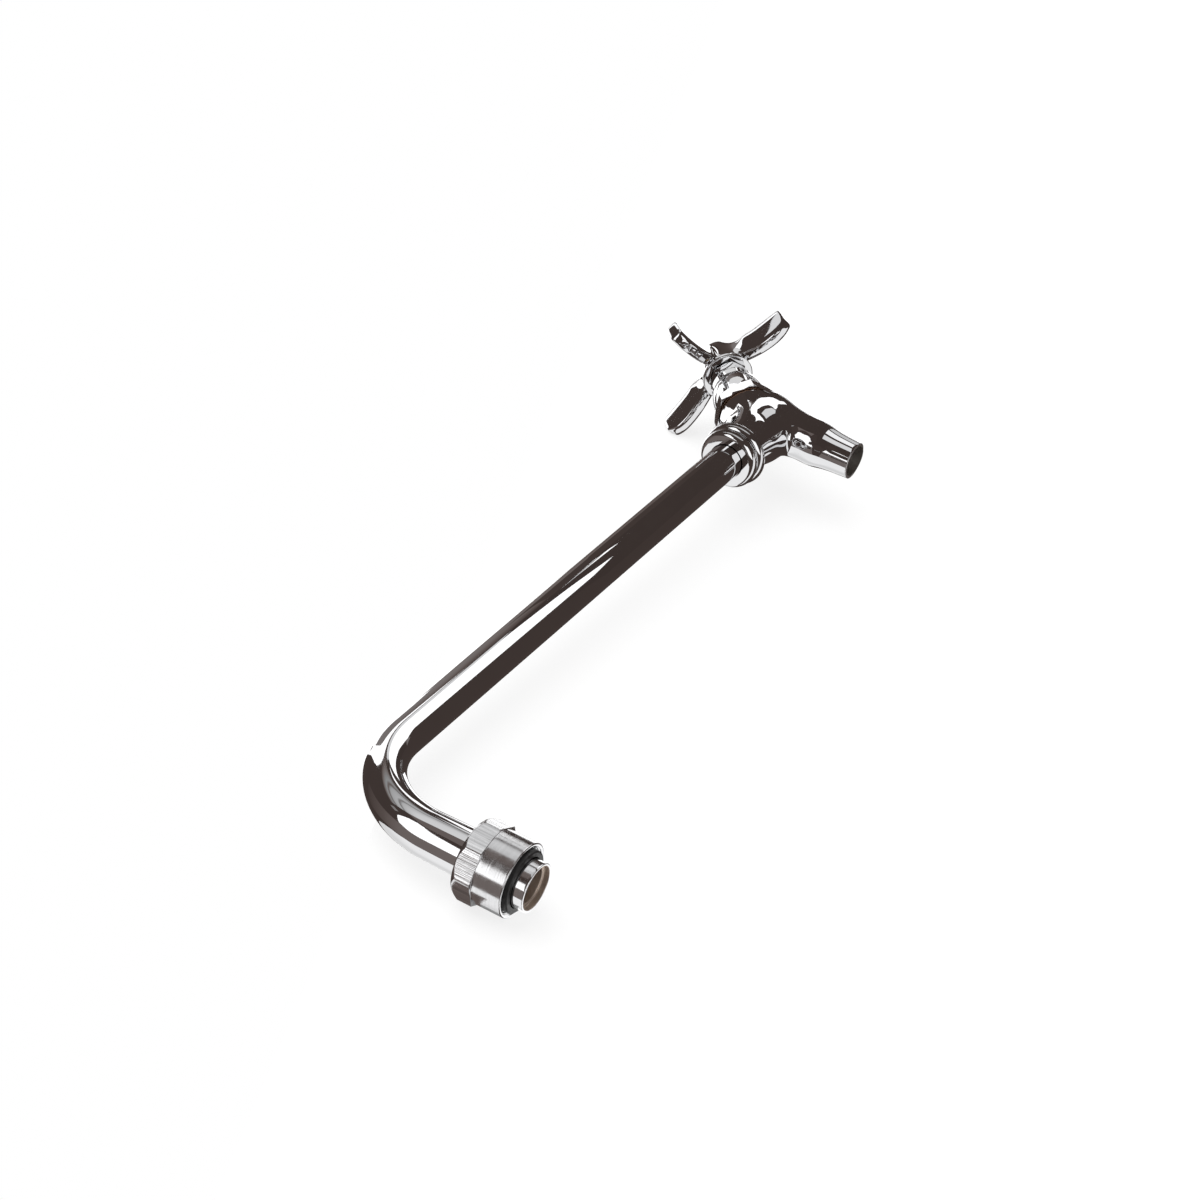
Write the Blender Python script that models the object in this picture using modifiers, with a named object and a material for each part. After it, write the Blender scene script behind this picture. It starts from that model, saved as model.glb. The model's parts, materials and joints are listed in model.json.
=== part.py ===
"""A swing spout with a hose bib at its end: swivel nut, bent arm, valve casting, stem and cross handle.

The axis of the swivel nut is Z and the nut's open rim lies at z = 0. The arm runs along +X, the
outlet points down and the handle leans up and outwards. Run it with blender --background --python.
"""

import math

import bmesh
import bpy
import numpy as np
from mathutils import Matrix, Vector

MM = 0.001

# Clearances
GAP = 0.3 * MM
OVERCUT = 2.0 * MM
WELD = 0.001 * MM

# Arm
ARM_REACH = 267.0 * MM
ARM_HEIGHT = 62.6 * MM
TUBE_OD = 12.7 * MM
LEG_OD = 15.2 * MM
TUBE_WALL = 1.2 * MM
BEND_RADIUS = 32.0 * MM

# Swivel nut, sized outwards from the leg of the arm
NUT_LEDGE = 2.5 * MM
NUT_BORE = LEG_OD + 2 * NUT_LEDGE
NUT_WALL = 1.6 * MM
NUT_OD = NUT_BORE + 2 * NUT_WALL
NUT_FLAT_STEP = 0.25 * MM
NUT_FLATS = NUT_OD + 2 * NUT_FLAT_STEP
NUT_SKIRT = 9.8 * MM
NUT_WRENCH_HEIGHT = 6.6 * MM
NUT_SHOULDER = 4.9 * MM
NUT_SIDES = 8
NUT_TURN = math.radians(6.0)
NUT_EDGE = 0.25 * MM
NUT_MOUTH = 0.85 * MM

# Spigot and its washers
SPIGOT_PROUD = 0.1 * MM
SPIGOT_OD = LEG_OD + 2 * SPIGOT_PROUD
SPIGOT_DROP = 4.9 * MM
SPIGOT_WALL = 1.6 * MM
SPIGOT_LIP = 2.0 * MM
SPIGOT_LIP_WALL = 0.8 * MM
SPIGOT_FLANGE_PLAY = 0.5 * MM
SPIGOT_FLANGE_OD = NUT_BORE - 2 * SPIGOT_FLANGE_PLAY
SPIGOT_FLANGE = 3.2 * MM
SPIGOT_STUB = 12.0 * MM
SPIGOT_STUB_WALL = 1.1 * MM
SPIGOT_EDGE = 0.4 * MM
SLIP_WASHER = 1.5 * MM
SWIVEL_WASHER = 7.0 * MM
SWIVEL_EDGE = 0.6 * MM

# Valve casting
STEM_TILT = math.radians(45.0)
STEM_SETBACK = 7.1 * MM
COLLAR_SETBACK = 32.0 * MM
COLLAR_LIP_OD = 22.4 * MM
COLLAR_BEAD_OD = 24.0 * MM
COLLAR_BEAD = 4.4 * MM
COLLAR_NECK_ANGLE = 60.0
COLLAR_GROOVE_ANGLE = 75.0
INLET_OD = 18.6 * MM
BULB_OD = 20.2 * MM
BULB_LEAD = 3.2 * MM
BULB_RISE = 1.0 * MM
BARREL_OD = 20.4 * MM
NECK_OD = 22.6 * MM
NECK_TOP = 12.0 * MM
OUTLET_OD = 13.6 * MM
OUTLET_DROP = 36.2 * MM
SPOUT_WAIST_OD = 15.6 * MM
SPOUT_WAIST_DROP = 20.0 * MM
OUTLET_WALL = 0.9 * MM
CASTING_BLEND = 4.5 * MM
CASTING_GRAIN = 2.2 * MM
SOCKET_DEPTH = 15.0 * MM

# Seat and water ways
SEAT_BORE = 8.0 * MM
SEAT_OD = 10.6 * MM
SEAT_HEIGHT = 2.7 * MM
SEAT_LIP = 0.8 * MM
SEAT_STAND = 0.9 * MM
CHAMBER_BORE = 13.8 * MM
PASSAGE_BORE = 9.2 * MM
OUTLET_THROAT = 9.6 * MM

# Bonnet and packing
BONNET_THREAD_OD = 16.0 * MM
BONNET_STUB = 7.0 * MM
BONNET_STUB_WALL = 1.5 * MM
BONNET_FLATS = 22.4 * MM
BONNET_HEX = 4.4 * MM
BONNET_EDGE = 0.6 * MM
BONNET_DOME = 12.4 * MM
BONNET_DOME_OD = 15.6 * MM
BONNET_NOSE_OD = 10.6 * MM
BONNET_NOSE = 6.0 * MM
GASKET = 0.8 * MM
PACKING_BOX = 8.8 * MM
PACKING_BOX_DEPTH = 7.5 * MM
PACKING_WASHER = 0.8 * MM
PACKING_RING = 3.6 * MM
PACKING_NUT_FLATS = 13.4 * MM
PACKING_NUT_HEIGHT = 8.9 * MM
PACKING_NUT_TOP = 1.8 * MM
PACKING_NUT_RIM_OD = 16.6 * MM
PACKING_NUT_RIM = 2.8 * MM

# Stem and seat washer
STEM_OD = 6.0 * MM
STEM_THREAD_OD = 8.4 * MM
STEM_THREAD = 11.5 * MM
STEM_SQUARE = 4.2 * MM
STEM_SQUARE_LENGTH = 7.4 * MM
STEM_RISE = 3.75 * MM
STEM_NOSE_OD = 4.4 * MM
STEM_NOSE = 2.6 * MM
HOLDER_OD = 11.8 * MM
HOLDER_DISC = 2.2 * MM
HOLDER_BOSS = 3.4 * MM
HOLDER_LIP = 1.6 * MM
HOLDER_WALL = 1.3 * MM
SEAT_WASHER_OD = 10.6 * MM
SEAT_WASHER = 2.8 * MM
WASHER_SCREW_HEAD_OD = 5.6 * MM
WASHER_SCREW_HEAD = 1.4 * MM
WASHER_SCREW_OD = 2.4 * MM
WASHER_SCREW = 5.4 * MM
WASHER_SCREW_EDGE = 0.4 * MM
CLIP_WIRE = 0.7 * MM

# Handle
HANDLE_SPAN = 61.8 * MM
HANDLE_TURN = math.radians(39.0)
HANDLE_ARMS = 4
HUB_OD = 19.6 * MM
HUB_SKIRT_WALL = 1.3 * MM
HUB_SKIRT = 2.6 * MM
HUB_LIFT = 0.6 * MM
HUB_HEIGHT = 16.2 * MM
HUB_CROWN_OD = 13.4 * MM
HUB_WEB = 1.5 * MM
ARM_WIDTH = 5.0 * MM
ARM_ROOT_RISE = 1.4 * MM
ARM_WAIST_DROP = 2.64 * MM
ARM_BELLY = 4.4 * MM
ARM_TIP_DROP = 3.74 * MM
ARM_BELLY_INSET = 7.5 * MM
ARM_WAIST_INSET = 14.5 * MM
ARM_ROOT_TOP = 12.6 * MM
ARM_WAIST_TOP = 9.4 * MM
ARM_BELLY_TOP = 8.3 * MM
ARM_TIP_TOP = 7.4 * MM
ARM_TIP_EDGE = 0.8 * MM
ARM_TIP_RISE = 3.0 * MM
ARM_ROOT_SPREAD = 1.15
RIM_CREASE = 1.0
CROWN_CREASE = 0.7
TIP_CREASE = 0.6
ARM_CREASE = 0.5
HANDLE_SCREW_OD = 2.4 * MM
HANDLE_SCREW = 10.0 * MM
HANDLE_SCREW_HEAD_OD = 6.4 * MM
HANDLE_SCREW_HEAD = 1.7 * MM
HANDLE_WASHER = 0.6 * MM
BUTTON_OD = 10.4 * MM
BUTTON = 1.6 * MM
BUTTON_EDGE = 0.64 * MM

# Facets
ROUND = 32
SMALL_ROUND = 18
SCREW_ROUND = 12
WIRE_ROUND = 6
BEND_STEPS = 13
TUBE_STEPS = 10
DOME_STEPS = 8
BEAD_STEPS = 6
EDGE_STEPS = 3
SKIN_STEPS = 8
HANDLE_ROUNDS = 2

# Finishes: base colour, metallic value and roughness
CHROME = ((0.86, 0.86, 0.87), 1.0, 0.06)
BRASS = ((0.78, 0.56, 0.26), 1.0, 0.25)
BLACK_RUBBER = ((0.02, 0.02, 0.02), 0.0, 0.55)
FIBRE = ((0.20, 0.10, 0.06), 0.0, 0.8)
PACKING = ((0.06, 0.06, 0.06), 0.0, 0.7)
STEEL = ((0.62, 0.62, 0.64), 1.0, 0.22)

# Places along the swivel axis, from the rim of the nut upwards
NUT_LENGTH = NUT_SKIRT + NUT_WRENCH_HEIGHT
SHOULDER_Z = NUT_LENGTH - NUT_SHOULDER
SLIP_Z = SHOULDER_Z - GAP - SLIP_WASHER
FLANGE_TOP_Z = SLIP_Z - GAP
FLANGE_Z = FLANGE_TOP_Z - SPIGOT_FLANGE
SWIVEL_Z = FLANGE_Z - GAP - SWIVEL_WASHER
TUBE_FOOT_Z = FLANGE_TOP_Z + GAP

# Places along the arm
STEM_FOOT_X = ARM_REACH - STEM_SETBACK
COLLAR_X = ARM_REACH - COLLAR_SETBACK
COLLAR_LENGTH = 2 * COLLAR_BEAD
TUBE_END_X = COLLAR_X + SOCKET_DEPTH - GAP

# Heights along the stem axis, from the arm's axis outwards, with the valve closed
SEAT_RIM_D = 0.0
SEAT_FOOT_D = SEAT_RIM_D - SEAT_HEIGHT
SEAT_WASHER_D = SEAT_RIM_D + GAP
HOLDER_DISC_D = SEAT_WASHER_D + SEAT_WASHER + GAP
HOLDER_BOSS_D = HOLDER_DISC_D + HOLDER_DISC
HOLDER_TOP_D = HOLDER_BOSS_D + HOLDER_BOSS
STEM_NOSE_D = HOLDER_TOP_D - STEM_NOSE
STEM_THREAD_D = HOLDER_TOP_D + GAP
STEM_SHAFT_D = STEM_THREAD_D + STEM_THREAD
GASKET_D = NECK_TOP + GAP
BONNET_D = GASKET_D + GASKET + GAP
BONNET_STUB_D = NECK_TOP - BONNET_STUB
BONNET_DOME_D = BONNET_D + BONNET_HEX
BONNET_NOSE_D = BONNET_DOME_D + BONNET_DOME
BONNET_TOP_D = BONNET_NOSE_D + BONNET_NOSE
PACKING_BOX_D = BONNET_TOP_D - PACKING_BOX_DEPTH
PACKING_WASHER_D = PACKING_BOX_D + GAP
PACKING_D = PACKING_WASHER_D + PACKING_WASHER + GAP
GLAND_D = PACKING_D + PACKING_RING + GAP
PACKING_NUT_D = BONNET_NOSE_D + GAP
PACKING_NUT_TOP_D = PACKING_NUT_D + PACKING_NUT_HEIGHT
GLAND_TOP_D = PACKING_NUT_TOP_D - PACKING_NUT_TOP - GAP
HUB_D = PACKING_NUT_TOP_D + HUB_LIFT
HUB_FLOOR_D = HUB_D + HUB_SKIRT
HUB_TOP_D = HUB_D + HUB_HEIGHT
STEM_TOP_D = HUB_FLOOR_D + STEM_SQUARE_LENGTH
SCREW_WEB_D = STEM_TOP_D + GAP
HANDLE_WASHER_D = SCREW_WEB_D + HUB_WEB + GAP
HANDLE_HEAD_D = HANDLE_WASHER_D + HANDLE_WASHER + GAP
BUTTON_D = HANDLE_HEAD_D + HANDLE_SCREW_HEAD + GAP


def clear_scene():
    for found in list(bpy.data.objects):
        bpy.data.objects.remove(found, do_unlink=True)


def new_collection(name):
    collection = bpy.data.collections.new(name)
    bpy.context.scene.collection.children.link(collection)
    return collection


clear_scene()
PARTS = new_collection("hose_bib")
CUTTERS = new_collection("hose_bib_cutters")


def finish_of(name, finish):
    """A material of the object's own, from its colour, metallic value and roughness."""
    colour, metallic, roughness = finish
    material = bpy.data.materials.new(name)
    material.use_nodes = True
    shader = material.node_tree.nodes["Principled BSDF"]
    shader.inputs["Base Color"].default_value = (*colour, 1.0)
    shader.inputs["Metallic"].default_value = metallic
    shader.inputs["Roughness"].default_value = roughness
    material.diffuse_color = (*colour, 1.0)
    return material


def add_object(name, mesh, finish=None, axis=None):
    """A part where a finish is given, and otherwise a hidden cutter."""
    made = bpy.data.objects.new(name, mesh)
    if finish is None:
        CUTTERS.objects.link(made)
        made.hide_render = True
        made.display_type = "WIRE"
    else:
        PARTS.objects.link(made)
        mesh.materials.append(finish_of(name, finish))
    made.parent = axis
    return made


def add_axis(name, location, rotation=(0.0, 0.0, 0.0)):
    """An empty on an axis of the object, which carries the pieces that sit on that axis."""
    axis = bpy.data.objects.new(name, None)
    axis.empty_display_size = TUBE_OD
    axis.location = location
    axis.rotation_euler = rotation
    PARTS.objects.link(axis)
    return axis


def turned(name, profile, finish=None, axis=None, steps=ROUND):
    """A turned piece. The profile holds (radius, height) pairs, down the outer side and up any bore."""
    mesh = bpy.data.meshes.new(name)
    points = [(radius, 0.0, height) for radius, height in profile]
    edges = [(i, i + 1) for i in range(len(points) - 1)]
    if profile[0][0] > 0.0:
        edges.append((len(points) - 1, 0))
    mesh.from_pydata(points, edges, [])
    made = add_object(name, mesh, finish, axis)
    screw = made.modifiers.new("Turn", "SCREW")
    screw.steps = steps
    screw.render_steps = steps
    screw.use_merge_vertices = True
    screw.merge_threshold = WELD
    screw.use_smooth_shade = True
    return made


def ring(outer, inner, low, high):
    """The profile of a plain ring."""
    return [(outer, high), (outer, low), (inner, low), (inner, high)]


def rod(radius, low, high):
    """The profile of a plain round bar."""
    return [(0.0, high), (radius, high), (radius, low), (0.0, low)]


def prism(name, sides, flats, low, high, turn=0.0, finish=None, axis=None):
    """A bar with so many flats, this far across them, standing on its axis."""
    mesh = bpy.data.meshes.new(name)
    shape = bmesh.new()
    corner = flats / 2 / math.cos(math.pi / sides)
    place = Matrix.Translation((0.0, 0.0, (low + high) / 2)) @ Matrix.Rotation(turn, 4, "Z")
    bmesh.ops.create_cone(shape, cap_ends=True, segments=sides, radius1=corner, radius2=corner,
                          depth=high - low, matrix=place)
    shape.to_mesh(mesh)
    shape.free()
    return add_object(name, mesh, finish, axis)


def boolean(target, other, operation):
    step = target.modifiers.new(other.name, "BOOLEAN")
    step.operation = operation
    step.object = other
    return target


def cut(target, other):
    return boolean(target, other, "DIFFERENCE")


def join(target, other):
    return boolean(target, other, "UNION")


def trim(target, other):
    return boolean(target, other, "INTERSECT")


def baked(source):
    """A welded mesh of the object as its modifiers leave it, in world space."""
    bpy.context.view_layer.update()
    graph = bpy.context.evaluated_depsgraph_get()
    evaluated = source.evaluated_get(graph)
    mesh = bpy.data.meshes.new_from_object(evaluated, depsgraph=graph)
    mesh.transform(source.matrix_world)
    shape = bmesh.new()
    shape.from_mesh(mesh)
    bmesh.ops.remove_doubles(shape, verts=shape.verts, dist=WELD)
    bmesh.ops.recalc_face_normals(shape, faces=shape.faces)
    shape.to_mesh(mesh)
    shape.free()
    return mesh


def shade(target, angle=35.0):
    target.data.shade_smooth()
    target.data.set_sharp_from_angle(angle=math.radians(angle))


def arc(centre_r, centre_h, radius, start, end, steps):
    """Points (radius, height) along an arc of a profile, with its angles in degrees."""
    angles = [math.radians(start + (end - start) * i / steps) for i in range(steps + 1)]
    return [(centre_r + radius * math.cos(a), centre_h + radius * math.sin(a)) for a in angles]


def swivel_nut():
    """Round threaded skirt below, octagonal wrench part above with its top corners turned off."""
    corner = NUT_FLATS / 2 / math.cos(math.pi / NUT_SIDES)
    bevel = corner - NUT_FLATS / 2
    nut = prism("swivel_nut", NUT_SIDES, NUT_FLATS, NUT_SKIRT, NUT_LENGTH, NUT_TURN, CHROME)
    crown = turned("nut_crown", [
        (0.0, NUT_LENGTH),
        (NUT_FLATS / 2, NUT_LENGTH),
        (corner + bevel, NUT_LENGTH - 2 * bevel),
        (corner + bevel, NUT_SKIRT - OVERCUT),
        (0.0, NUT_SKIRT - OVERCUT),
    ])
    skirt = turned("nut_skirt", [
        (0.0, NUT_LENGTH - NUT_SHOULDER),
        (NUT_OD / 2, NUT_LENGTH - NUT_SHOULDER),
        (NUT_OD / 2, NUT_EDGE),
        (NUT_OD / 2 - NUT_EDGE, 0.0),
        (0.0, 0.0),
    ], steps=2 * SMALL_ROUND)
    bore = turned("nut_bore", [
        (0.0, NUT_LENGTH + OVERCUT),
        (LEG_OD / 2 + GAP, NUT_LENGTH + OVERCUT),
        (LEG_OD / 2 + GAP, SHOULDER_Z),
        (NUT_BORE / 2, SHOULDER_Z),
        (NUT_BORE / 2, NUT_MOUTH),
        (NUT_BORE / 2 + NUT_MOUTH, 0.0),
        (NUT_BORE / 2 + NUT_MOUTH, -OVERCUT),
        (0.0, -OVERCUT),
    ])
    trim(nut, crown)
    join(nut, skirt)
    cut(nut, bore)
    return nut


def swivel_washers():
    """The brass ring under the nut's ledge, and the rubber bush that stands a little out of the nut."""
    inner = SPIGOT_OD / 2 + GAP
    outer = NUT_BORE / 2 - GAP
    top = SWIVEL_Z + SWIVEL_WASHER
    turned("slip_washer", ring(outer, LEG_OD / 2 + GAP, SLIP_Z, SLIP_Z + SLIP_WASHER),
           BRASS, steps=SMALL_ROUND)
    turned("swivel_washer", [
        (outer, top),
        *arc(outer - SWIVEL_EDGE, SWIVEL_Z + SWIVEL_EDGE, SWIVEL_EDGE, 0.0, -90.0, EDGE_STEPS),
        (inner, SWIVEL_Z),
        (inner, top),
    ], BLACK_RUBBER, steps=SMALL_ROUND)


def spigot(axis):
    """The brazed foot: flange, long stub inside the leg and the counterbored nose that enters the faucet."""
    stub = LEG_OD / 2 - TUBE_WALL - GAP
    lip_bore = SPIGOT_OD / 2 - SPIGOT_LIP_WALL
    nose_bore = SPIGOT_OD / 2 - SPIGOT_WALL
    stub_bore = stub - SPIGOT_STUB_WALL
    return turned("spigot", [
        (stub, FLANGE_TOP_Z + SPIGOT_STUB),
        (stub, FLANGE_TOP_Z),
        (SPIGOT_FLANGE_OD / 2, FLANGE_TOP_Z),
        (SPIGOT_FLANGE_OD / 2, FLANGE_Z),
        (SPIGOT_OD / 2, FLANGE_Z),
        (SPIGOT_OD / 2, SPIGOT_EDGE - SPIGOT_DROP),
        (SPIGOT_OD / 2 - SPIGOT_EDGE, -SPIGOT_DROP),
        (lip_bore, -SPIGOT_DROP),
        (lip_bore, SPIGOT_LIP - SPIGOT_DROP),
        (nose_bore, SPIGOT_LIP - SPIGOT_DROP),
        (nose_bore, FLANGE_Z),
        (stub_bore, FLANGE_TOP_Z),
        (stub_bore, FLANGE_TOP_Z + SPIGOT_STUB),
    ], BRASS, axis)


def arm_line(extra):
    """Points of the arm's centre line with the share of the taper passed at each one."""
    bend_z = ARM_HEIGHT - BEND_RADIUS
    leg = bend_z - TUBE_FOOT_Z
    turn = BEND_RADIUS * math.pi / 2
    points = [((0.0, 0.0, TUBE_FOOT_Z - extra), 0.0)]
    for i in range(BEND_STEPS + 1):
        angle = math.pi / 2 * i / BEND_STEPS
        x = BEND_RADIUS * (1.0 - math.cos(angle))
        z = bend_z + BEND_RADIUS * math.sin(angle)
        share = (leg + turn * i / BEND_STEPS) / (leg + turn)
        points.append(((x, 0.0, z), share))
    points.append(((TUBE_END_X + extra, 0.0, ARM_HEIGHT), 1.0))
    return points


def tapered_tube(name, inset, extra, finish=None):
    """A tube along the arm, thinner than the arm's outside by the inset."""
    line = arm_line(extra)
    curve = bpy.data.curves.new(name, "CURVE")
    curve.dimensions = "3D"
    curve.bevel_depth = 1.0
    curve.bevel_resolution = TUBE_STEPS
    curve.use_fill_caps = True
    spline = curve.splines.new("POLY")
    spline.points.add(len(line) - 1)
    for point, (place, share) in zip(spline.points, line):
        ease = share * share * (3.0 - 2.0 * share)
        point.co = (*place, 1.0)
        point.radius = LEG_OD / 2 + (TUBE_OD - LEG_OD) / 2 * ease - inset
    guide = bpy.data.objects.new(name + "_line", curve)
    CUTTERS.objects.link(guide)
    mesh = baked(guide)
    mesh.name = name
    bpy.data.objects.remove(guide, do_unlink=True)
    return add_object(name, mesh, finish)


def spout_tube():
    tube = tapered_tube("spout_tube", 0.0, 0.0, CHROME)
    bore = tapered_tube("tube_bore", TUBE_WALL, OVERCUT)
    shade(tube)
    return cut(tube, bore)


def stem_point(along, across=0.0):
    """A place in the arm's plane: so far along the stem axis, and so far across it towards the outlet."""
    x = STEM_FOOT_X + along * math.sin(STEM_TILT) + across * math.cos(STEM_TILT)
    z = ARM_HEIGHT + along * math.cos(STEM_TILT) - across * math.sin(STEM_TILT)
    return Vector((x, 0.0, z))


def casting_limbs():
    """The limbs that the casting blends: start, end and the radius at each of them."""
    bulb = Vector((ARM_REACH + BULB_LEAD, 0.0, ARM_HEIGHT + BULB_RISE))
    waist_lead = BULB_LEAD * (OUTLET_DROP - SPOUT_WAIST_DROP) / (OUTLET_DROP + BULB_RISE)
    waist = Vector((ARM_REACH + waist_lead, 0.0, ARM_HEIGHT - SPOUT_WAIST_DROP))
    outlet = Vector((ARM_REACH, 0.0, ARM_HEIGHT - OUTLET_DROP - OVERCUT))
    collar = Vector((COLLAR_X + COLLAR_LENGTH / 2, 0.0, ARM_HEIGHT))
    foot = Vector((STEM_FOOT_X, 0.0, ARM_HEIGHT))
    return [
        (collar, foot, INLET_OD / 2, BARREL_OD / 2),
        (foot, stem_point(NECK_TOP + OVERCUT), BARREL_OD / 2, NECK_OD / 2),
        (foot, bulb, BARREL_OD / 2, BULB_OD / 2),
        (bulb, waist, BULB_OD / 2, SPOUT_WAIST_OD / 2),
        (waist, outlet, SPOUT_WAIST_OD / 2, OUTLET_OD / 2),
    ]


def limb_distance(points, limb):
    """How far each point lies outside one limb."""
    start, end, first, last = limb
    base = np.array(start)
    line = np.array(end) - base
    share = np.clip((points - base) @ line / (line @ line), 0.0, 1.0)
    away = np.linalg.norm(points - base - share[:, None] * line, axis=1)
    return away - first - (last - first) * share


def casting_distance(points):
    """How far each point lies outside the casting, with the limbs run together by a soft minimum."""
    weights = sum(np.exp(-limb_distance(points, limb) / (CASTING_BLEND / 4)) for limb in casting_limbs())
    return -CASTING_BLEND / 4 * np.log(weights)


def limb_form(name, limb):
    """A round-ended bar along one limb, as the rough form that is blended afterwards."""
    start, end, first, last = limb
    length = (end - start).length
    profile = arc(0.0, length, last, 90.0, 0.0, BEAD_STEPS)
    profile += arc(0.0, 0.0, first, 0.0, -90.0, BEAD_STEPS)
    profile[0] = (0.0, length + last)
    profile[-1] = (0.0, -first)
    form = turned(name, profile)
    form.location = start
    form.rotation_euler = (end - start).to_track_quat("Z", "Y").to_euler()
    return form


def casting_form():
    """The outside of the casting: rough limbs rebuilt as one skin, which is drawn onto the blend."""
    forms = [limb_form(f"limb_{i}", limb) for i, limb in enumerate(casting_limbs())]
    heap = bmesh.new()
    for form in forms:
        heap.from_mesh(baked(form))
        bpy.data.objects.remove(form, do_unlink=True)
    rough = add_object("casting_skin", bpy.data.meshes.new("casting_skin"))
    heap.to_mesh(rough.data)
    heap.free()
    skin = rough.modifiers.new("Skin", "REMESH")
    skin.mode = "VOXEL"
    skin.voxel_size = CASTING_GRAIN
    mesh = baked(rough)
    bpy.data.objects.remove(rough, do_unlink=True)
    points = np.empty(3 * len(mesh.vertices))
    mesh.vertices.foreach_get("co", points)
    points = points.reshape(-1, 3)
    probe = 0.01 * MM
    for _ in range(SKIN_STEPS):
        here = casting_distance(points)
        slope = np.stack([(casting_distance(points + step) - here) / probe
                          for step in np.eye(3) * probe], axis=1)
        slope /= np.linalg.norm(slope, axis=1)[:, None]
        points = points - 0.8 * here[:, None] * slope
    mesh.vertices.foreach_set("co", points.ravel())
    mesh.update()
    return mesh


def valve_body(arm_axis, stem_axis, outlet_axis):
    """The casting: two beads round the arm's socket, bulb, slanted neck and tapered spout, all bored."""
    body = add_object("valve_body", casting_form(), CHROME)
    shade(body, 60.0)
    reach = 3 * BULB_OD
    far = NECK_TOP + reach
    cut(body, turned("neck_face", rod(reach, NECK_TOP, far), axis=stem_axis))
    cut(body, turned("outlet_face", rod(reach, -OUTLET_DROP - reach, -OUTLET_DROP), axis=outlet_axis))
    cut(body, turned("inlet_face", rod(reach, -reach, COLLAR_BEAD), axis=arm_axis))
    bead = COLLAR_BEAD / 2
    collar = [(0.0, COLLAR_LENGTH + bead), (INLET_OD / 2, COLLAR_LENGTH + bead)]
    collar += arc(COLLAR_BEAD_OD / 2 - bead, COLLAR_BEAD + bead, bead,
                  COLLAR_NECK_ANGLE, -COLLAR_GROOVE_ANGLE, BEAD_STEPS)
    collar += arc(COLLAR_LIP_OD / 2 - bead, bead, bead, COLLAR_GROOVE_ANGLE, -90.0, BEAD_STEPS)
    collar += [(0.0, 0.0)]
    join(body, turned("collar_beads", collar, axis=arm_axis))
    tube = TUBE_OD / 2 + GAP
    waterway = STEM_FOOT_X - COLLAR_X
    cut(body, turned("inlet_bore", [
        (0.0, waterway),
        (PASSAGE_BORE / 2, waterway - PASSAGE_BORE / 2),
        (PASSAGE_BORE / 2, SOCKET_DEPTH),
        (tube, SOCKET_DEPTH),
        (tube, -OVERCUT),
        (0.0, -OVERCUT),
    ], axis=arm_axis, steps=SMALL_ROUND))
    thread = BONNET_THREAD_OD / 2 + GAP
    pocket = SEAT_OD / 2 + GAP
    floor = SEAT_RIM_D - SEAT_STAND
    cut(body, turned("stem_bore", [
        (0.0, NECK_TOP + OVERCUT),
        (thread, NECK_TOP + OVERCUT),
        (thread, BONNET_STUB_D - GAP),
        (CHAMBER_BORE / 2, BONNET_STUB_D - GAP),
        (CHAMBER_BORE / 2, floor),
        (pocket, floor),
        (pocket, SEAT_FOOT_D - GAP),
        (SEAT_BORE / 2, SEAT_FOOT_D - GAP),
        (SEAT_BORE / 2, SEAT_FOOT_D - SEAT_BORE / 2),
        (0.0, SEAT_FOOT_D - SEAT_BORE / 2),
    ], axis=stem_axis, steps=SMALL_ROUND))
    tip_bore = OUTLET_OD / 2 - OUTLET_WALL
    spout_bore = turned("outlet_bore", [
        (0.0, OUTLET_DROP),
        (OUTLET_THROAT / 2, OUTLET_DROP),
        (OUTLET_THROAT / 2, OUTLET_DROP - SPOUT_WAIST_DROP),
        (tip_bore, 0.0),
        (tip_bore, -OVERCUT),
        (0.0, -OVERCUT),
    ], axis=outlet_axis, steps=SMALL_ROUND)
    spout_bore.location = (0.0, 0.0, -OUTLET_DROP)
    spout_bore.rotation_euler = (0.0, math.atan2(BULB_LEAD, OUTLET_DROP + BULB_RISE), 0.0)
    cut(body, spout_bore)
    return body


def valve_seat(axis):
    inner = SEAT_BORE / 2
    return turned("valve_seat", [
        (inner + SEAT_LIP, SEAT_RIM_D),
        (SEAT_OD / 2, SEAT_RIM_D - SEAT_LIP),
        (SEAT_OD / 2, SEAT_FOOT_D),
        (inner, SEAT_FOOT_D),
        (inner, SEAT_RIM_D),
    ], BRASS, axis, SMALL_ROUND)


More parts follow.
